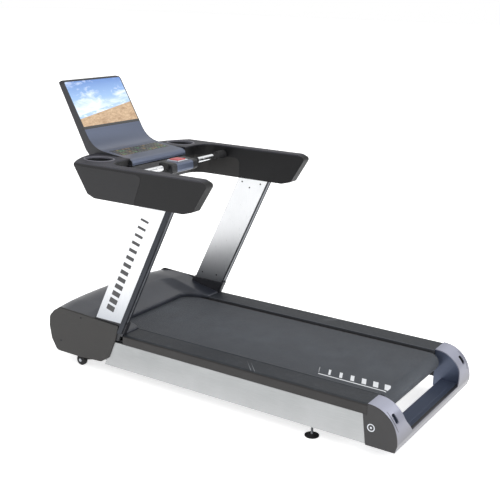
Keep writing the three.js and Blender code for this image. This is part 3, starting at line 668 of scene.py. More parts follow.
def belt_fabric():
    """A fine diamond weave, a paler worn lane, a slanting splice and printed bars."""
    finish = Finish("running_belt_weave", "#2c323b", 0.62, Sheen_Weight=0.15, Sheen_Roughness=0.5)
    x, y, z = finish.axes()
    first = (x + y).each(3.2).within(0.4, 2.4, 0.6)
    second = (x - y).each(3.2).within(0.4, 2.4, 0.6)
    finish.press(first * second, 0.22)
    worn = (1 - abs(x).between(60, 240)) * finish.noise(120, 3).between(0.3, 0.7)
    finish.paint(worn * 0.3, "#4d5661")
    finish.paint(finish.noise(2.2, 2).between(0.45, 0.7) * 0.35, "#30363f")
    finish.set("Roughness", 0.58 + finish.noise(80, 3) * 0.16)
    splice = (y + x * 0.35 - 60).within(-0.7, 0.7)
    top = z.between(BELT_TOP - 3, BELT_TOP - 2)
    finish.paint(splice * 0.5, "#23272d")
    hem = abs(x).between(BELT_HIGH[0] - 7, BELT_HIGH[0] - 6)
    finish.paint(hem * 0.5, "#2b3037")
    bars = printed_bars(y - x * 0.42, x, -1030, -470, -268, -192)
    finish.paint(bars * top, "#e9ecf0")
    return finish.material


def printed_bars(along, across, start, end, low, high):
    """A plain row of slanting bars that grow narrower from start to end, over a thin line."""
    pitch = 62
    share = (along - start) / (end - start)
    offset = (along - start).each(pitch)
    wide = 44 - share * 34
    bar = offset.between(0, 0.8) * (1 - (offset - wide).between(-0.8, 0))
    field = along.within(start, end, 0.4)
    body = across.within(low + 20, high, 0.6) * bar
    line = across.within(low, low + 8, 0.6)
    return body.most(line) * field


def side_panel_paint():
    """Pale silver panels, with a fine lengthwise brush, a slow change of tone and a painted
    reflection of the pale floor that lightens them towards the bottom.
    """
    finish = brushed("silver_side_panel", "#9c9e9f", "#aeb0b1", 0.42, (1, 0.02, 1), 0.55, 0.01)
    _, _, z = finish.axes()
    # Painted reflection: paler towards the bottom, as the pale floor would show in the metal.
    finish.paint((1 - z.between(60, 150)) * 0.35, "#c2c3c4")
    return finish.material


def mast_silver(name, pale, grey, low, high):
    """Anodised plate, brushed along the mast, with painted light: pale at the top as a painted
    reflection of the lights, and painted shade that greys it lower down.
    """
    finish = brushed(name, pale, "#f2f3f5", 0.3, (1, 0.5, 0.03), 0.6, 0.008)
    _, _, z = finish.axes()
    # Painted shade and reflection: the plate is greyed lower down and left pale at the top, as the
    # lights would show on it.
    painted_shade = 1 - z.between(low, high)
    finish.paint(painted_shade * painted_shade * 0.9, grey)
    return finish.material


def mast_extrusion():
    finish = brushed("dark_mast_extrusion", "#2b2d32", "#3a3d43", 0.38, (1, 1, 0.04), 0.7, 0.01)
    return finish.material


def grey_inlay():
    finish = brushed("grey_inlay", "#7d8087", "#92959c", 0.35, (1, 1, 0.04), 0.6, 0.01)
    return finish.material


def cap_paint():
    """Lilac silver paint on the rear cap, with painted shade that darkens it down its back."""
    finish = enamelled("lilac_silver_cap", "#a2a4b6", "#b2b5c6", 0.32, 0.5)
    _, _, z = finish.axes()
    # Painted shade: the cap is painted dark grey-lilac below its top, where the light falls off
    # down its back.
    finish.paint((1 - z.between(95, 250)) * 0.93, "#3d3c45")
    return finish.material


def cap_side():
    finish = moulded("satin_black_cheek", "#1b1a1c", "#262528", 0.4, 1.2, 0.06, Coat_Weight=0.15)
    return finish.material


def desk_paint():
    """The blue-silver paint of the console's plate, the stop box and the rear tray."""
    finish = enamelled("blue_silver_plate", "#5b6478", "#6b748a", 0.36, 0.72)
    return finish.material


def white_bezel():
    finish = Finish("pale_bezel", "#cfd3da", 0.35, 0.2, Coat_Weight=0.3)
    finish.paint(finish.noise(12, 2).between(0.4, 0.7) * 0.4, "#dfe2e7")
    finish.press(finish.noise(1.0, 2), 0.02)
    return finish.material


def stop_red():
    finish = Finish("stop_button_red", "#cc3d44", 0.38, Coat_Weight=0.3, Coat_Roughness=0.2)
    finish.paint(finish.noise(16, 3).between(0.4, 0.8) * 0.5, "#e0686c")
    finish.press(finish.noise(1.1, 2), 0.03)
    return finish.material


def black_keypad():
    finish = Finish("black_keypad_film", "#16171b", 0.22, Coat_Weight=0.6, Coat_Roughness=0.08)
    finish.paint(finish.noise(30, 2).between(0.4, 0.7) * 0.5, "#1f2126")
    finish.press(finish.noise(1.4, 2), 0.015)
    return finish.material


def key_print():
    """The keypad's keys: most are dark olive, some amber or green."""
    finish = Finish("keypad_keys", "#2a2f26", 0.35, Coat_Weight=0.4)
    x, y, _ = finish.axes()
    row = (y + 2000).each(99)
    choice = finish.node("TexWhiteNoise", {"noise_dimensions": "2D"}, {
        0: finish.node("CombineXYZ", values={
            0: finish.node("Math", {"operation": "FLOOR"}, {0: (x + 204) / 24}),
            1: finish.node("Math", {"operation": "FLOOR"}, {0: row / 24}),
        }),
    })
    finish.paint(choice.between(0.45, 0.46) * 0.8, "#5c5a3a")
    finish.paint(choice.between(0.66, 0.67), "#8a6a2e")
    finish.paint(choice.between(0.86, 0.87), "#4f8a52")
    finish.press(finish.noise(1.0, 2), 0.02)
    return finish.material


def lit_picture(low, high, half):
    """A lit display: a bright sky with clouds, a strip of pale sea and a sandy beach."""
    finish = Finish("lit_display", "#0b0c0f", 0.12, Coat_Weight=0.8, Coat_Roughness=0.05)
    x, _, z = finish.axes()
    up = (z - low) / (high - low)
    heights = [(0.36, "#bccfe2"), (0.6, "#88a9d2"), (1.0, "#5077b4")]
    sky = finish.node("ValToRGB", {"stops": heights}, {0: up})
    clouds = finish.noise(90, 6, 0.62, scales=(0.55, 1, 1.6), distortion=0.5).between(0.47, 0.66)
    picture = finish.blend(clouds * 0.85, sky, colour("#dde5ef"))
    shore = up - x * 0.00055
    sea = 1 - shore.between(0.355, 0.37)
    picture = finish.blend(sea, picture, colour("#9db9d6"))
    foam = finish.noise(16, 3, 0.6, scales=(0.3, 1, 1)).between(0.5, 0.62)
    beach = 1 - shore.between(0.29, 0.30)
    picture = finish.blend(sea * foam * 0.7, picture, colour("#e8f1f8"))
    grains = finish.noise(9, 5, 0.7, scales=(0.5, 1, 1)).between(0.35, 0.7)
    sand = finish.blend(grains, colour("#a08060"), colour("#c7ac88"))
    shaded = finish.noise(40, 3, 0.6, scales=(0.4, 1, 1)).between(0.52, 0.66)
    sand = finish.blend(shaded * 0.6, sand, colour("#8c6844"))
    picture = finish.blend(beach, picture, sand)
    inside = (1 - abs(x).between(half - 4, half - 3.4)) * up.within(0.0, 1.0, 0.004)
    finish.paint(inside, picture)
    finish.set("Emission Color", finish.blend(inside, colour("#000000"), picture))
    finish.set("Emission Strength", 0.45)
    return finish.material


def brass():
    finish = Finish("brass_contacts", "#b0894a", 0.3, 1.0)
    finish.paint(finish.noise(3, 2).between(0.4, 0.7), "#c9a566")
    return finish.material


# ---------------------------------------------------------------- deck, belt and rollers
def running_belt(material):
    shape = bmesh.new()
    loops = []
    for radius in (BELT_RADIUS, BELT_RADIUS - BELT_THICK):
        path = arc(REAR_AXIS_Y, AXIS_Z, radius, 90, 270)
        path += arc(FRONT_AXIS_Y, AXIS_Z, radius, -90, 90)
        verts = [shape.verts.new((BELT_LOW[0], y, z)) for y, z in path]
        loops += [shape.edges.new((a, b)) for a, b in zip(verts, verts[1:] + verts[:1])]
    bmesh.ops.bridge_loops(shape, edges=loops)
    pushed = bmesh.ops.extrude_face_region(shape, geom=shape.faces[:])["geom"]
    ends = [part for part in pushed if isinstance(part, bmesh.types.BMVert)]
    bmesh.ops.translate(shape, vec=(BELT_HIGH[0] - BELT_LOW[0], 0, 0), verts=ends)
    bmesh.ops.recalc_face_normals(shape, faces=shape.faces)
    round_edges(shape, 0.7, 2, 60)
    finished(shape, "running_belt_loop", "base", material, ["running_belt"])


def rollers(steel):
    """Crowned drums with their end plugs; the front one carries the grooved drive pulley."""
    low, high = edges("rear_roller")
    radius, half = (high[2] - low[2]) / 2, high[0]
    bore, rim = 10.4, 8
    drum = [
        (bore, -half), (radius - rim, -half), (radius - rim, -half + 2), (radius - 2, -half + 2),
        (radius - 0.6, -half + 4), (radius, 0), (radius - 0.6, half - 4), (radius - 2, half - 2),
        (radius - rim, half - 2), (radius - rim, half), (bore, half),
    ]
    centre = (0, REAR_AXIS_Y, AXIS_Z)
    shape = turned(drum, "x", centre, 72, closed=True)
    finished(shape, "rear_roller_drum", "rear_roller", steel, ["rear_roller"])
    low, high = edges("front_roller")
    pulley, outer, start = (high[2] - low[2]) / 2, high[0], high[0] - 26
    ribs = []
    for i in range(6):
        ribs += [(pulley - 0.2, start + 3 + i * 3.6), (pulley - 2.4, start + 4.8 + i * 3.6)]
    driven = drum[:-1] + [
        (bore + 12, half), (bore + 12, start), (pulley - 1, start), *ribs, (pulley, outer - 1),
        (pulley - 1, outer), (bore, outer),
    ]
    shape = turned(driven, "x", (0, FRONT_AXIS_Y, AXIS_Z), 72, closed=True)
    finished(shape, "front_roller_drum", "front_roller", steel, ["front_roller"])
    for name, y in (("rear_roller_shaft", REAR_AXIS_Y), ("front_roller_shaft", FRONT_AXIS_Y)):
        low, high = edges(name)
        end, r = high[0], (high[2] - low[2]) / 2
        bar = [(0, -end), (r - 1, -end), (r, 1 - end), (r, end - 1), (r - 1, end), (0, end)]
        shape = turned(bar, "x", (0, y, AXIS_Z), 40)
        finished(shape, f"{name}_bar", "base", steel, [name])


def foot_rails(material):
    """Hollow rails: a crowned tread, a raised bead along the belt and a rounded outer shoulder."""
    inner, outer, top = RAIL_LOW[0], SIDE, RAIL_TOP
    bottom, sill, wall = RAIL_LOW[2], RAIL_TOP - 31.3, 7
    outline = rounded([
        (inner, top - 0.6, 2.2), (inner + 7, top - 0.6, 1.5), (inner + 9, top - 2.2, 1.5),
        (outer - 12, top - 1.2, 8), (outer, top - 8, 8), (outer, bottom, 1.5),
        (outer - wall, bottom, 1), (outer - wall, top - 14, 4), (inner + 9, top - 10, 2),
        (inner + 9, sill, 1), (inner, sill, 1),
    ], 4)
    shape = prism(outline, "y", RAIL_LOW[1], RAIL_HIGH[1])
    both_sides(shape, "foot_rail_tread", "base", material, "foot_rail")


def levelling_feet(rubber, zinc):
    low, high = edges("levelling_foot_right")
    x, y = (low[0] + high[0]) / 2, (low[1] + high[1]) / 2
    radius = (high[0] - low[0]) / 2
    pad = [
        (0, 0), (radius - 3, 0), (radius - 1, 1), (radius, 3), (radius - 0.5, 5.5),
        (radius - 4, 7.2), (16, 9.5), (13, 13), (0, 13),
    ]
    bodies = ("foot_right", "foot_left")
    shape = turned(pad, "z", (x, y, 0), 56)
    both_sides(shape, "levelling_pad", bodies, rubber, "levelling_foot")
    stud, thread, end = [(0, 12)], 6.0, high[2]
    z = 12
    while z < end - 2:
        stud += [(thread - 0.7, z), (thread, z + 0.75)]
        z += 1.5
    stud += [(thread - 1.5, end), (0, end)]
    both_sides(turned(stud, "z", (x, y, 0), 20), "levelling_stud", bodies, zinc)
    nut = prism(arc(x, y, 11, 0, 300, 5), "z", CAP_BOTTOM + 13, CAP_BOTTOM + 22.5)
    both_sides(round_edges(nut, 1, 2), "levelling_nut", "base", zinc)


def transport_wheels(rubber, zinc):
    low, high = edges("transport_wheel_right")
    radius, start, end = (high[2] - low[2]) / 2, low[0], high[0]
    centre = (0, (low[1] + high[1]) / 2, (low[2] + high[2]) / 2)
    tread = [
        (8.4, start), (12, start), (13, start + 2), (radius - 9, start + 2), (radius - 7, start),
        (radius - 3, start + 0.5), (radius, start + 4), (radius, start + 11),
        (radius - 1.4, start + 12), (radius - 1.4, end - 12), (radius, end - 11),
        (radius, end - 4), (radius - 3, end - 0.5), (radius - 7, end), (radius - 9, end - 2),
        (13, end - 2), (12, end), (8.4, end),
    ]
    bodies = ("wheel_right", "wheel_left")
    shape = turned(tread, "x", centre, 56, closed=True)
    both_sides(shape, "transport_tyre", bodies, rubber, "transport_wheel")
    head = [(0, end + 5), (7, end + 5), (9, end + 4), (10, end + 1.2), (0, end + 1.2)]
    cap = turned(head, "x", centre, 32)
    both_sides(cap, "axle_cap", "lift_frame", zinc)


# ---------------------------------------------------------------- the rear cap
def cap_line(steps=40):
    """The cap's outer line from its joint with the foot rails, round the back to its foot."""
    base, depth = CAP_BOTTOM + 33, CAP_FRONT - CAP_REAR - 8
    line = [Vector((CAP_FRONT, RAIL_TOP))]
    for i in range(steps + 1):
        turn = math.radians(90 * i / steps)
        rise = (RAIL_TOP - base) * max(math.cos(turn), 0) ** 0.92
        line.append(Vector((CAP_FRONT - 8 - depth * math.sin(turn), base + rise)))
    return line + [Vector((CAP_REAR + 10, CAP_BOTTOM))]


def rear_cap(paint, side_black, plate, dark):
    """The cap's painted band, its black cheeks, the walls of its well and its lower edge."""
    line = cap_line()
    inner, sill, wall = TRAY_HIGH[0] + 0.3, TRAY_HIGH[2] + 2, 5
    flare = inner - 50
    opening = rounded([
        (-flare, sill, 10), (flare, sill, 10), (inner, sill + 62, 46), (inner, RAIL_TOP + 20, 0),
        (-inner, RAIL_TOP + 20, 0), (-inner, sill + 62, 46),
    ], 10)
    band = prism(strip(line, 0.2, wall), "x", -SIDE + 3, SIDE - 3)
    band = carved(band, prism(opening, "y", CAP_REAR - 10, CAP_FRONT + 10))
    pocket = prism(pocket_outline(0, 0), "y", CAP_REAR - 10, CAP_REAR + 60)
    band = carved(band, merged(mirrored(pocket), pocket))
    round_edges(band, 1.4, 3, 40)
    finished(band, "rear_cap_band", "base", paint, ["rear_end_cap"])
    joint = [
        (CAP_FRONT, CAP_BOTTOM), (CAP_FRONT + 19, RAIL_LOW[2] - 0.3),
        (CAP_FRONT, RAIL_LOW[2] - 0.3),
    ]
    cheek = prism([*line, *joint], "x", SIDE - 4, SIDE)
    round_edges(cheek, 1.8, 3, 30, lambda e: all(v.co.x > SIDE - 0.1 for v in e.verts))
    both_sides(cheek, "rear_cap_cheek", "base", side_black)
    well = prism([*shifted(line, wall), (CAP_FRONT, CAP_BOTTOM)], "x", inner, inner + 4)
    both_sides(round_edges(well, 0.8, 2), "rear_cap_inner_wall", "base", plate)
    back = rounded([
        (CAP_REAR + 3, sill - 0.5, 2), (CAP_REAR + 10, CAP_BOTTOM, 2),
        (CAP_REAR + 20, CAP_BOTTOM, 2), (CAP_REAR + 20, sill - 0.5, 2),
    ], 3)
    crosspiece = prism(back, "x", -inner, inner)
    finished(crosspiece, "rear_cap_crosspiece", "base", dark)


def pocket_outline(grow, softer):
    """The upright outline of a tension bolt's pocket, grown all round and with softer corners."""
    near, far = BOLT_X - 14 - grow, BOLT_X + 14 + grow
    low, high = AXIS_Z - 16 - grow, AXIS_Z + 22 + grow
    return rounded([
        (near, low, 6 + softer), (far, low, 10 + softer), (far, high, 10 + softer),
        (near, high, 6 + softer),
    ])


def tension_bolts(dark, zinc):
    """The belt's tension bolts in their pockets, and the slit moulded beside each."""
    recess = prism(pocket_outline(3, 2), "y", CAP_REAR + 64, CAP_REAR + 68)
    both_sides(recess, "tension_bolt_plate", "base", dark)
    end = CAP_REAR + 46
    bolt = turned([
        (0, end + 7), (3.4, end + 7), (3.4, end), (7.2, end), (8, end + 1), (8, end + 9),
        (5, end + 10), (5, CAP_FRONT - 2), (0, CAP_FRONT - 2),
    ], "y", (BOLT_X, 0, AXIS_Z), 40)
    both_sides(bolt, "belt_tension_bolt", "base", zinc)
    groove = curve((430, 232), (441, 190), (426, 150), 20)
    hook = prism(strip(groove, -1.4, 1.4), "y", CAP_REAR - 4, CAP_FRONT)
    skin = prism(strip(cap_line(), -0.25, 0.9), "x", SIDE - 60, SIDE - 3)
    both_sides(carved(hook, skin, "INTERSECT"), "rear_cap_slit", "base", dark)


def cheek_rings(pale):
    """A plain ring with a dot on each cheek of the rear cap."""
    y, z = (CAP_REAR + CAP_FRONT) / 2 + 52, (CAP_BOTTOM + RAIL_TOP) / 2 - 9
    start, end = SIDE - 0.2, SIDE + 0.5
    flat_ring = [(14, start), (14, end), (18.5, end), (18.5, start)]
    ring = turned(flat_ring, "x", (0, y, z), 48, closed=True)
    dot = turned([(0, start), (0, end), (5, end), (5, start)], "x", (0, y, z), 32)
    both_sides(merged(ring, dot), "cheek_ring", "base", pale)


def rear_tray(plate):
    """The tray behind the rear roller, dished, with a raised panel."""
    inner = TRAY_HIGH[0]
    rear, front, top = TRAY_LOW[1], TRAY_HIGH[1], TRAY_HIGH[2]
    line = curve((front, top - 2), ((rear + front) / 2, top - 12), (rear, top), 14)
    tray = round_edges(prism(strip(line, 0, 3), "x", -inner, inner), 0.6, 2, 50)
    finished(tray, "rear_tray_dished", "base", plate, ["rear_tray"])
    middle = line[4:11]
    raised = round_edges(prism(strip(middle, -1.2, 0.5), "x", -inner + 95, inner - 95), 0.5, 2, 50)
    finished(raised, "rear_tray_panel", "base", plate)


# ---------------------------------------------------------------- hood and side covers
HOOD_REAR = 612
HORN_START = 240
HORN_TIP = RAIL_HIGH[1] + 4
HOOD_CREASES = {2: 0.75, 6: 0.6}


def smooth_share(value, low, high):
    share = min(max((value - low) / (high - low), 0), 1)
    return share * share * (3 - 2 * share)


def hood_line(across):
    """The hood's line from its rear lip to its front foot, at a distance from the middle."""
    bow = (HOOD_HIGH[1] - 986) * (1 - (across / SIDE) ** 2)
    turn = min(max((across - HORN_START) / (RAIL_LOW[0] - HORN_START), 0), 1) ** 1.8
    rear = HOOD_REAR + (HORN_TIP - HOOD_REAR) * turn
    drop = 8 * smooth_share(across, RAIL_LOW[0] - 20, SIDE)
    ridge = (788 + (735 - 788) * turn, 322 - drop)
    lip = 270 + (RAIL_TOP + 8 - 270) * turn
    rise = [
        (rear + 4 + (ridge[0] - rear - 4) * t, lip + (ridge[1] - lip) * lift)
        for t, lift in ((0, 0), (0.3, 0.22), (0.68, 0.66), (0.93, 0.95))
    ]
    return [
        (rear, BELT_TOP + 3), (rear - 1, lip - 7), *rise, ridge, (ridge[0] + 12, 323.5 - drop),
        (840, 326 - drop), (890 + bow / 2, 323 - drop), (932 + bow, 312 - drop),
        (962 + bow, 296 - drop / 2), (980 + bow, 262), (986 + bow, 200), (974 + bow, 130),
        (940 + bow, 66),
    ]


def hood_sheet(stations):
    """The hood's line carried across the stations, with its two creases marked."""
    shape = bmesh.new()
    crease = shape.edges.layers.float.new("crease_edge")
    row = [shape.verts.new((stations[0], y, z)) for y, z in hood_line(SIDE)]
    sheet_edges = [shape.edges.new(ends) for ends in zip(row, row[1:])]
    for x in stations[1:]:
        pushed = bmesh.ops.extrude_edge_only(shape, edges=sheet_edges)["geom"]
        verts = [part for part in pushed if isinstance(part, bmesh.types.BMVert)]
        lines = [part for part in pushed if isinstance(part, bmesh.types.BMEdge)]
        sheet_edges = [e for e in lines if e.verts[0] in verts and e.verts[1] in verts]
        order = {id(vert): i for i, vert in enumerate(row)}
        fresh = {}
        for vert in verts:
            old = next(e.other_vert(vert) for e in vert.link_edges if e.other_vert(vert) in row)
            fresh[order[id(old)]] = vert
        row = [fresh[i] for i in range(len(row))]
        for vert, (y, z) in zip(row, hood_line(abs(x))):
            vert.co = (x, y, z)
    for edge in shape.edges:
        for place, weight in HOOD_CREASES.items():
            if all(on_hood_line(vert, place) for vert in edge.verts):
                edge[crease] = weight
    return shape


def on_hood_line(vert, place):
    """Whether a vertex is at a place along the hood's line."""
    y, z = hood_line(abs(vert.co.x))[place]
    return (Vector((vert.co.y, vert.co.z)) - Vector((y, z))).length < 0.01


def hood(material):
    """The moulded hood: two soft creases, and rear corners that run back along the rails."""
    near = [
        0, 60, 120, 180, 215, HORN_START, 256, 270, 284, 296, 307, RAIL_LOW[0], 335, 360, 390, 425,
        SIDE - 1, SIDE,
    ]
    shape = hood_sheet([-a for a in near[:0:-1]] + near)
    bmesh.ops.recalc_face_normals(shape, faces=shape.faces)
    if sum(face.normal.z for face in shape.faces) < 0:
        bmesh.ops.reverse_faces(shape, faces=shape.faces)
    shell = skinned(shape, 2, 4)
    shell = carved(shell, block((-320, 930, 92), (-220, 1060, 150), 8))
    finished(shell, "hood_moulding", "base", material, ["hood_top"], 60)


def skinned(sheet, levels, wall):
    """An open sheet made smooth, then given a wall on its inner side."""
    mesh = bpy.data.meshes.new("sheet")
    sheet.to_mesh(mesh)
    sheet.free()
    holder = bpy.data.objects.new("sheet", mesh)
    bpy.context.scene.collection.objects.link(holder)
    fine = holder.modifiers.new("fine", "SUBSURF")
    fine.levels = fine.render_levels = levels
    thick = holder.modifiers.new("wall", "SOLIDIFY")
    thick.thickness = wall
    thick.offset = -1
    result = holder.evaluated_get(bpy.context.evaluated_depsgraph_get())
    made = bmesh.new()
    made.from_mesh(result.to_mesh())
    result.to_mesh_clear()
    bpy.data.objects.remove(holder)
    bpy.data.meshes.remove(mesh)
    return made


def side_covers(material, screw):
    """Grained covers over the foot of each mast, with a rounded outer rim and two screws."""
    top, rear = COVER_HIGH[2], COVER_LOW[1]
    outline = rounded([
        (rear + 1, top - 18, 6), (rear + 23, 226, 30), (564, 110, 30), (620, 74, 20), (790, 65, 60),
        (938, 66, 30), (976, 128, 60), (990, 200, 60), (985, 262, 40), (912, top, 40),
    ], 8)
    shape = prism(outline, "x", COVER_LOW[0], COVER_HIGH[0])
    round_edges(shape, 4.5, 4, 40, lambda e: all(v.co.x > COVER_HIGH[0] - 0.1 for v in e.verts))
    both_sides(shape, "side_cover_moulding", "base", material, "side_cover")
    heads = [screw_head((COVER_HIGH[0], y, z), 4.5) for y, z in ((754, 292), (905, 130))]
    both_sides(merged(*heads), "side_cover_screws", "base", screw)


def screw_head(place, radius, inward=False):
    """A low domed head with a socket, facing out along X, or inwards."""
    way = -1 if inward else 1
    rise = radius * 0.45
    profile = [
        (0, -0.4), (radius, -0.4), (radius, rise * 0.4), (radius * 0.75, rise),
        (radius * 0.45, rise), (radius * 0.4, rise * 0.3), (0, rise * 0.3),
    ]
    shape = turned([(r, a * way) for r, a in profile], "x", (0, 0, 0), 24)
    bmesh.ops.translate(shape, vec=place, verts=shape.verts)
    return shape


# ---------------------------------------------------------------- masts
def slanted(outline_at, low, high):
    """A section (x, y past the mast's rear) carried up the leaning mast."""
    outline = [(x, mast_rear(low) + y) for x, y in outline_at]
    return prism(outline, "z", low, high, (0, mast_rear(high) - mast_rear(low), 0))


def mast_skins(outer, inner):
    """The silver plates on the outer and inner side of each mast."""
    x0, x1, front = PLATE_LOW[0], PLATE_HIGH[0], MAST_WIDTH - 3
    plate = slanted(rounded([
        (x0, PLATE_MARGIN, 0.5), (x1, PLATE_MARGIN, 1.2), (x1, front, 3), (x0, front, 0.5),
    ], 5), COVER_HIGH[2] + 0.3, PLATE_HIGH[2])
    both_sides(plate, "mast_outer_skin", "base", outer, "mast_outer_plate")
    x0, x1 = INNER_LOW[0], INNER_HIGH[0]
    skin = slanted(rounded([
        (x0, 3, 1.5), (x1, 3, 0.5), (x1, front, 0.5), (x0, front, 1.5),
    ], 5), INNER_LOW[2], INNER_HIGH[2])
    both_sides(skin, "mast_inner_skin", "base", inner, "mast_inner_plate")


def mast_edges(extrusion, inlay):
    """The dark extrusion down each mast's rear edge, with a fine silver line let into it."""
    rail = rounded([
        (MAST_INNER + 0.5, 2.6, 0.5), (MAST_INNER + 0.5, -4, 1.5), (431, -4, 0.8), (432, -1.6, 0.6),
        (446, -1.6, 0.6), (447, -4, 0.8), (MAST_OUTER, -4, 2), (MAST_OUTER, 25.4, 0.8),
        (PLATE_LOW[0], 25.4, 0), (PLATE_LOW[0], -0.3, 0), (INNER_HIGH[0] + 0.3, -0.3, 0),
        (INNER_HIGH[0] + 0.3, 2.6, 0),
    ], 4)
    rail = slanted(rail, COVER_HIGH[2] - 60, PLATE_HIGH[2])
    both_sides(rail, "mast_rear_rail", "base", extrusion)
    line = rounded([(434, -3.4, 0.5), (444, -3.4, 0.5), (444, -1.4, 0), (434, -1.4, 0)], 3)
    line = slanted(line, COVER_HIGH[2] - 50, PLATE_HIGH[2])
    both_sides(line, "mast_rear_inlay", "base", inlay)


def mast_fittings(boot, screw, print_dark):
    """The boot at each mast's foot, the screws of its inner plate and the bars on its outer one."""
    rear, front, outer = -12, MAST_WIDTH + 12, PLATE_LOW[0] - 0.5
    collar = slanted(rounded([
        (412, rear, 12), (outer, rear, 2), (outer, front, 2), (412, front, 12),
    ], 6), 246, COVER_HIGH[2] + 1)
    round_edges(collar, 4, 4, 40, lambda e: all(v.co.z > COVER_HIGH[2] for v in e.verts))
    both_sides(collar, "mast_boot", "base", boot)
    places = [(946.5, 0.82), (917.6, 0.5), (945.8, 0.2), (360.6, 0.82), (359.4, 0.3)]
    heads = [
        screw_head((MAST_INNER, mast_rear(z) + MAST_WIDTH * share, z), 4.6, inward=True)
        for z, share in places
    ]
    both_sides(merged(*heads), "mast_screws", "base", screw)
    both_sides(mast_bars(), "mast_bars", "base", print_dark)


def mast_bars():
    """Plain slanting bars printed up the mast's outer plate, each shorter than the last."""
    bars = []
    low, high, count, wide = 372, 922, 13, 48
    for i in range(count):
        z = low + (high - low) * i / count
        tall = 29 - 1.5 * i
        rear = mast_rear(z) + 96
        outline = rounded([
            (rear, z, 2), (rear + wide, z + 14, 2),
            (rear + wide - MAST_LEAN * tall, z + 14 + tall, 2),
            (rear - MAST_LEAN * tall, z + tall, 2),
        ], 4)
        bars.append(prism(outline, "x", PLATE_HIGH[0] - 0.2, PLATE_HIGH[0] + 0.25))
    return merged(*bars)


# ---------------------------------------------------------------- arms
def bowed(shape, rear, front):
    """An arm cut into strips, its front half bowed forward towards the console."""
    strips = 8
    for i in range(1, strips):
        place = CORNER_INNER + (ARM_HIGH[0] - CORNER_INNER) * i / strips
        parts = [*shape.verts, *shape.edges, *shape.faces]
        bmesh.ops.bisect_plane(shape, geom=parts, plane_co=(place, 0, 0), plane_no=(1, 0, 0))
    for vert in shape.verts:
        if vert.co.y > (rear + front) / 2:
            share = (vert.co.x - CORNER_INNER) / (ARM_HIGH[0] - CORNER_INNER)
            vert.co.y += ARM_BOW * (1 - share * share)
    return shape


def throat_cutter(bottom, top, rear):
    """The column that the hands reach through: square in plan, its front wall leaning."""
    low, high = bottom - 60, top + 60
    front = THROAT_FRONT + THROAT_LEAN * (top - low)
    plan = rounded([
        (CORNER_INNER - 20, rear - 200, 0), (ARM_INNER, rear - 200, 0), (ARM_INNER, front, 85),
        (CORNER_INNER - 20, front, 0),
    ], 16)
    return prism(plan, "z", low, high, (0, -THROAT_LEAN * (high - low), 0))


def arms(material, rim, inside):
    rear, front = ARM_LOW[1] - 1, ARM_HIGH[1] - ARM_BOW + 1
    bottom, top, outer = ARM_LOW[2], ARM_HIGH[2], ARM_HIGH[0]
    side = rounded([
        (rear, top - 18, 16), (rear + 84, bottom + 16, 22), (rear + 141, bottom, 40),
        (front - 137, bottom, 40), (front - 91, bottom + 18, 20), (front, top - 12, 12),
        (front - 14, top, 12), (rear + 46, top, 22),
    ], 6)
    shape = bowed(prism(side, "x", CORNER_INNER, outer), rear, front)
    shape = carved(shape, throat_cutter(bottom, top, rear))
    round_edges(shape, 9, 4, 42, lambda e: all(v.co.x > CORNER_INNER + 1 for v in e.verts))
    cup = turned([(0, CUP_FLOOR), (1, CUP_FLOOR), (1, top + 30), (0, top + 30)], "z", (0, 0, 0), 72)
    bmesh.ops.scale(cup, vec=(CUP_HALF[0], CUP_HALF[1], 1), verts=cup.verts)
    bmesh.ops.translate(cup, vec=(*CUP, 0), verts=cup.verts)
    shape = carved(shape, cup)
    edge = [Vector((300 + 0.36 * (top - z), z)) for z in (bottom - 5, top - 60)]
    path = edge + curve(edge[1], (edge[1].x - 16, top - 17), (edge[1].x + 30, top - 17), 10)[1:]
    path.append(Vector((front - 60, top - 17)))
    line = prism(strip(path, -0.9, 0.9), "x", outer - 1.4, outer + 5)
    shape = carved(shape, line)
    both_sides(shape, "arm_cover", "base", material, "arm_shell")
    both_sides(cup_holder(top), "cup_holder", "base", inside)
    both_sides(cup_ring(top), "cup_ring", "base", rim)


def oval(profile, closed=False):
    """A profile of (past the cup's wall, height) points carried round the oval cup."""
    middle = (CUP_HALF[0] + CUP_HALF[1]) / 2
    line = [(middle + r if r > -middle else 0, z) for r, z in profile]
    shape = turned(line, "z", (0, 0, 0), 72, closed)
    for vert in shape.verts:
        flat = Vector(vert.co[:2])
        length = flat.length
        if length < 0.01:
            continue
        way = flat / length
        reach = 1 / math.sqrt((way.x / CUP_HALF[0]) ** 2 + (way.y / CUP_HALF[1]) ** 2)
        vert.co.x, vert.co.y = way * (length - middle + reach) if length > middle / 2 else flat
    bmesh.ops.translate(shape, vec=(*CUP, 0), verts=shape.verts)
    return shape


def cup_holder(top):
    floor = CUP_FLOOR + 0.3
    return oval([
        (-99, floor), (-6, floor), (-0.4, floor + 5), (-0.4, top - 1), (-2.4, top - 1),
        (-2.8, floor + 8), (-8, floor + 3), (-99, floor + 3),
    ])


def cup_ring(top):
    return oval([
        (-3, top - 8), (-3, top + 0.5), (-1.5, top + 2.2), (2, top + 2.4), (5, top + 1.4),
        (6, top - 0.3), (-0.3, top - 0.3), (-0.3, top - 8),
    ], closed=True)


# ---------------------------------------------------------------- console
DESK_TOP = DESK_HIGH[2]
FACE_BEND = (906, DESK_TOP - 246)


def face_line():
    """The line that faces the runner, from the top of the display down to the front roll."""
    return [
        Vector((1050, DESK_TOP - 3)), Vector(FACE_BEND),
        *curve((890, DESK_TOP - 273), (848, DESK_TOP - 345), (760, DESK_TOP - 352), 22),
        Vector((612, DESK_TOP - 369)),
        *curve((600, DESK_TOP - 371), (574, DESK_TOP - 377), (576, DESK_TOP - 403), 14),
    ]


def rounded_front(half, top, radius):
    """A column along Y that trims the console to a width, with its upper corners round."""
    outline = [(-half, 900, 0), (half, 900, 0), (half, top, radius), (-half, top, radius)]
    return prism(rounded(outline, 10), "y", 400, 1300)


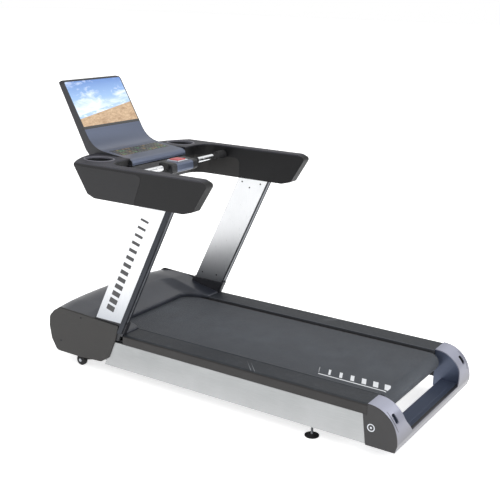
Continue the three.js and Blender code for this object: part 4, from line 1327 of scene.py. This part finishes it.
def console(shell, plate, picture, film, keys, board):
    """The raked console: its shell, the display, the plate below it and the keypad."""
    face, half = face_line(), DESK_HIGH[0]
    beam_top = ARM_HIGH[2] - 45.7
    back = rounded([
        (588, beam_top, 4), (852, beam_top + 8, 30), (898, 1150, 60),
        (DESK_HIGH[1], DESK_TOP - 9, 5), (1070, DESK_TOP, 5), (1050, DESK_TOP - 3, 0),
        (700, 1200, 0),
    ], 8)[:-2]
    body = prism([*face, *back], "x", -half, half)
    body = carved(body, rounded_front(half, DESK_TOP, 20), "INTERSECT")
    inset = prism(strip(face, -6, 3.2), "x", 3 - half, half - 3)
    inset = carved(inset, rounded_front(half - 3, DESK_TOP - 6, 16), "INTERSECT")
    body = round_edges(carved(body, inset), 1.1, 2, 50)
    finished(body, "console_moulding", "base", shell, ["console_housing"])

    screen = prism(strip(face[:2], 0.4, 3), "x", 3.3 - half, half - 3.3)
    screen = carved(screen, rounded_front(half - 3.3, DESK_TOP - 6.4, 15), "INTERSECT")
    finished(screen, "display_glass", "base", picture, ["display_panel"])

    lower = [face[1] + (face[2] - face[1]) * 0.02, *face[2:]]
    skin = round_edges(prism(strip(lower, 0, 3), "x", 3.3 - half, half - 3.3), 0.6, 2, 50)
    low, high = edges("keypad_panel")
    gap = 0.4
    room = block(
        (low[0] - gap, low[1] - gap, low[2] - 20), (high[0] + gap, high[1] + gap, high[2] + 20),
    )
    skin = carved(skin, room)
    finished(skin, "console_plate", "base", plate, ["console_face_plate"])
    keypad(low, high, film, keys)
    softened("control_board", board, 0.2, 1)
    softened("console_beam", shell, 3, 3)


def keypad(low, high, film, keys):
    """The keypad's film between two corners, with four rows of raised keys."""
    surface = high[2] - 0.6
    line = [Vector((high[1], surface)), Vector((low[1], surface - (high[2] - low[2] - 2.2)))]
    pad = round_edges(prism(strip(line, -0.2, 1.8), "x", low[0], high[0]), 0.5, 2, 50)
    finished(pad, "keypad_film", "base", film, ["keypad_panel"])
    along = (line[1] - line[0]).normalized()
    columns, pitch, first, size = 15, 24.6, -183, (18, 14)
    caps = []
    for row in range(4):
        start = line[0] + along * (8 + row * 23.5)
        outline = strip([start, start + along * size[1]], -0.9, 0)
        for column in range(columns):
            left = first + column * pitch
            caps.append(round_edges(prism(outline, "x", left, left + size[0]), 0.6, 1, 50))
    finished(merged(*caps), "keypad_keys", "base", keys)


# ---------------------------------------------------------------- grip bar and stop switch
def grips(black, chrome, screw):
    """The grip bar with its ribbed collars and flanges, the sensor sleeves and the flange bolts."""
    bar, end = 12, GRIP_HIGH[0]
    collar, flange = (STOP_HIGH[0] + 0.6, SLEEVE_LOW[0] - 0.6), (end - 86, end - 9)
    ribs = []
    for i in range(4):
        at = collar[0] + 6 + i * 7
        ribs += [(19, at), (19.4, at + 1), (19.4, at + 4), (19, at + 5), (17.8, at + 6)]
    half = [
        (bar, 0), (bar, collar[0]), (17.5, collar[0]), (19, collar[0] + 1.5), *ribs,
        (18.5, collar[1] - 1.5), (17, collar[1]), (bar, collar[1]), (bar, SLEEVE_HIGH[0] + 1),
        (bar + 1.2, SLEEVE_HIGH[0] + 3), (bar + 1.2, flange[0] - 8), (16, flange[0] - 4),
        (21, flange[0]), (23, flange[0] + 2), (23, flange[0] + 9), (21.5, flange[0] + 11),
        (21.5, flange[0] + 18), (23, flange[0] + 20), (23, flange[1] - 2), (21, flange[1]),
        (14, flange[1]), (14, end), (0, end),
    ]
    whole = [(r, -a) for r, a in half[:0:-1]] + half[1:]
    centre = (0, GRIP_Y, GRIP_Z)
    shape = turned(whole, "x", centre, 56)
    finished(shape, "grip_bar_rubber", "base", black, ["grip_bar"])
    a, b, r = SLEEVE_LOW[0], SLEEVE_HIGH[0], (SLEEVE_HIGH[2] - SLEEVE_LOW[2]) / 2
    sleeve = turned([
        (bar + 0.3, a), (r - 1, a), (r, a + 1), (r, a + 46), (r - 0.7, a + 47), (r - 0.7, a + 49),
        (r, a + 50), (r, b - 1), (r - 1, b), (bar + 0.3, b),
    ], "x", centre, 56, closed=True)
    both_sides(sleeve, "grip_sensor_sleeve", "base", chrome, "grip_sleeve")
    bolts = []
    for i in range(6):
        turn = math.radians(60 * i + 30)
        place = (flange[0], GRIP_Y + 17.5 * math.cos(turn), GRIP_Z + 17.5 * math.sin(turn))
        bolts.append(screw_head(place, 2.4, inward=True))
    both_sides(merged(*bolts), "flange_bolts", "base", screw)


def round_the_button(sideways, along, bottom, radius, top=STOP_HIGH[2] + 20):
    """A block that is wider than the stop button by a margin on each side."""
    return block(
        (BUTTON_LOW[0] - sideways, BUTTON_LOW[1] - along, bottom),
        (BUTTON_HIGH[0] + sideways, BUTTON_HIGH[1] + along, top), radius,
    )


def stop_switch(plate, bezel, red, dark):
    """The stop box: a plated middle between dark ends, a pale bezel and the button."""
    low, high = STOP_LOW, STOP_HIGH
    side = rounded([
        (low[1], low[2], 16), (high[1] - 7, low[2], 16), (high[1], high[2], 12),
        (low[1] + 4, high[2] - 6, 14),
    ], 8)
    plated = 70
    box = round_edges(prism(side, "x", -plated, plated), 1.2, 2, 60)
    box = carved(box, round_the_button(0.6, 0.6, BUTTON_LOW[2] - 3.5, 3))
    finished(box, "stop_box_moulding", "base", plate, ["stop_box"])
    cheek = prism(side, "x", plated + 0.3, high[0])
    round_edges(cheek, 10, 5, 60, lambda e: all(v.co.x > high[0] - 0.1 for v in e.verts))
    both_sides(cheek, "stop_box_cheek", "base", dark)
    ring = round_the_button(9, 8, high[2] - 4, 1.4, high[2] + 1.6)
    ring = carved(ring, round_the_button(0.6, 0.6, high[2] - 20, 3))
    finished(ring, "stop_bezel", "base", bezel)
    key = block(BUTTON_LOW, BUTTON_HIGH, 2.4, 4)
    finished(key, "stop_button_cap", "stop_button", red, ["stop_button"])


# ---------------------------------------------------------------- frame, drive and incline
def pair(name):
    """The names of a node and its mirror image."""
    return [f"{name}_left", f"{name}_right"]


def workings(coat, steel, rubber, board, inverter, plastic, gloss, panel):
    """What the covers hold and what shows below them: the CAD shapes with their edges eased."""
    groups = [
        (coat, "painted_steel", 1.5, [
            *pair("frame_rail"), "rear_cross_member", "front_cross_member", "deck_crossbar_rear",
            "deck_crossbar_front", "motor_housing", "motor_plate", "lift_frame", "actuator_body",
            "console_crossbar", *pair("mast_core"),
        ]),
        (steel, "bright_steel", 0.6, ["motor_rotor", "actuator_rod"]),
        (rubber, "rubber", 1.0, [
            "drive_belt", *pair("deck_cushion_rear"), *pair("deck_cushion_front"),
        ]),
        (board, "deck_board", 1.5, ["running_deck"]),
        (inverter, "silver_aluminium", 1.2, ["motor_controller"]),
        (plastic, "dark_plastic", 1.0, ["belly_pan", "power_inlet_panel"]),
        (gloss, "black_gloss", 0.8, ["power_switch"]),
        (panel, "silver_aluminium", 2.0, pair("side_panel")),
    ]
    for material, slot, radius, nodes in groups:
        for node in nodes:
            softened(node, material, radius)


def inlet_pins(material):
    """The three contacts inside the power inlet."""
    low, _ = edges("power_inlet_panel")
    pins = [
        block((x - 1, low[1] + 3, z - 2.5), (x + 1, low[1] + 14, z + 2.5), 0.4, 2)
        for x, z in ((-298, 118), (-286, 118), (-292, 126))
    ]
    finished(merged(*pins), "power_inlet_pins", "base", material)


# ---------------------------------------------------------------- floor, light and camera
def room_light():
    """A room whose walls are white at the floor, grey above it and bright half way up."""
    levels = ((0, 1), (0.025, 1), (0.38, 0.2), (0.5, 1.1), (0.64, 1.1), (0.78, 0.25), (1, 1))
    world = bpy.data.worlds.new("soft_white_room")
    bpy.context.scene.world = world
    world.use_nodes = True
    tree = world.node_tree
    way = tree.nodes.new("ShaderNodeTexCoord")
    parts = tree.nodes.new("ShaderNodeSeparateXYZ")
    ramp = tree.nodes.new("ShaderNodeValToRGB")
    tree.links.new(way.outputs["Generated"], parts.inputs[0])
    tree.links.new(parts.outputs["Z"], ramp.inputs[0])
    tree.links.new(ramp.outputs[0], tree.nodes["Background"].inputs["Color"])
    for place, _ in levels[1:-1]:
        ramp.color_ramp.elements.new(place)
    for stop, (_, level) in zip(ramp.color_ramp.elements, levels):
        stop.color = (level, level, level, 1)
    tree.nodes["Background"].inputs["Strength"].default_value = 1.0


def studio():
    floor_shape = bmesh.new()
    bmesh.ops.create_grid(floor_shape, x_segments=1, y_segments=1, size=60)
    mesh = bpy.data.meshes.new("studio_floor")
    floor_shape.to_mesh(mesh)
    floor_shape.free()
    pale = Finish("pale_floor", "#fafafa", 0.85, Emission_Strength=0.72)
    pale.set("Emission Color", (1, 1, 1, 1))
    mesh.materials.append(pale.material)
    floor = bpy.data.objects.new("studio_floor", mesh)
    bpy.context.scene.collection.objects.link(floor)
    room_light()
    aim = Vector((0, 0, 0.6))
    for name, place, size, power in (
        ("key_softbox", (-3.4, -1.0, 4.6), 3.0, 55),
        ("runner_side_fill", (-0.5, -5.5, 2.8), 3.0, 45),
        ("right_fill", (2.8, -3.4, 3.2), 2.4, 40),
    ):
        lamp = bpy.data.lights.new(name, "AREA")
        lamp.size = size
        lamp.energy = power
        light = bpy.data.objects.new(name, lamp)
        bpy.context.scene.collection.objects.link(light)
        light.location = place
        light.rotation_euler = (aim - Vector(place)).to_track_quat("-Z", "Y").to_euler()


def camera():
    """The view from behind and to the left of the runner's place."""
    lens = bpy.data.cameras.new("camera")
    lens.lens = 65.48
    lens.sensor_width = 36
    lens.clip_end = 200
    eye = bpy.data.objects.new("camera", lens)
    bpy.context.scene.collection.objects.link(eye)
    yaw, pitch, roll = 1.001, 0.277, 0.022
    turn = Matrix.Rotation(-yaw, 4, "Z") @ Matrix.Rotation(math.pi / 2 - pitch, 4, "X")
    place = Matrix.Translation((-3.8122, -2.4544, 1.9831))
    eye.matrix_world = place @ turn @ Matrix.Rotation(roll, 4, "Z")
    bpy.context.scene.camera = eye


# ---------------------------------------------------------------- the treadmill
def build():
    coat, steel, zinc = powder_coated(), turned_steel(), zinc_plated()
    rubber, screws, trim = black_rubber(), blackened_steel(), trim_black()
    shell, plate, pale = dark_console(), desk_paint(), white_bezel()
    film, cheeks = black_keypad(), cap_side()

    running_belt(belt_fabric())
    rollers(steel)
    foot_rails(rail_cover())
    levelling_feet(rubber, zinc)
    transport_wheels(rubber, zinc)
    rear_cap(cap_paint(), cheeks, plate, trim)
    tension_bolts(trim, zinc)
    cheek_rings(pale)
    rear_tray(plate)

    hood(satin_hood())
    side_covers(side_cover_grain(), screws)
    mast_skins(
        mast_silver("mast_outer_silver", "#dfe1e4", "#aeb2b8", 330, 760),
        mast_silver("mast_inner_silver", "#e8eaec", "#72757a", 330, PLATE_HIGH[2] - 250),
    )
    mast_edges(mast_extrusion(), grey_inlay())
    mast_fittings(shell, screws, film)
    arms(arm_cover(), cup_rim(), trim)
    console(
        shell, plate, lit_picture(DESK_TOP - 234, DESK_TOP - 8, DESK_HIGH[0] - 3.3), film,
        key_print(), printed_circuit(),
    )
    grips(rubber, plated_chrome(), screws)
    stop_switch(plate, pale, stop_red(), trim)

    board, inverter = phenolic_board(), cast_inverter()
    workings(coat, steel, rubber, board, inverter, shell, film, side_panel_paint())
    inlet_pins(brass())


bpy.context.scene.view_settings.view_transform = "Standard"
build()
studio()
camera()
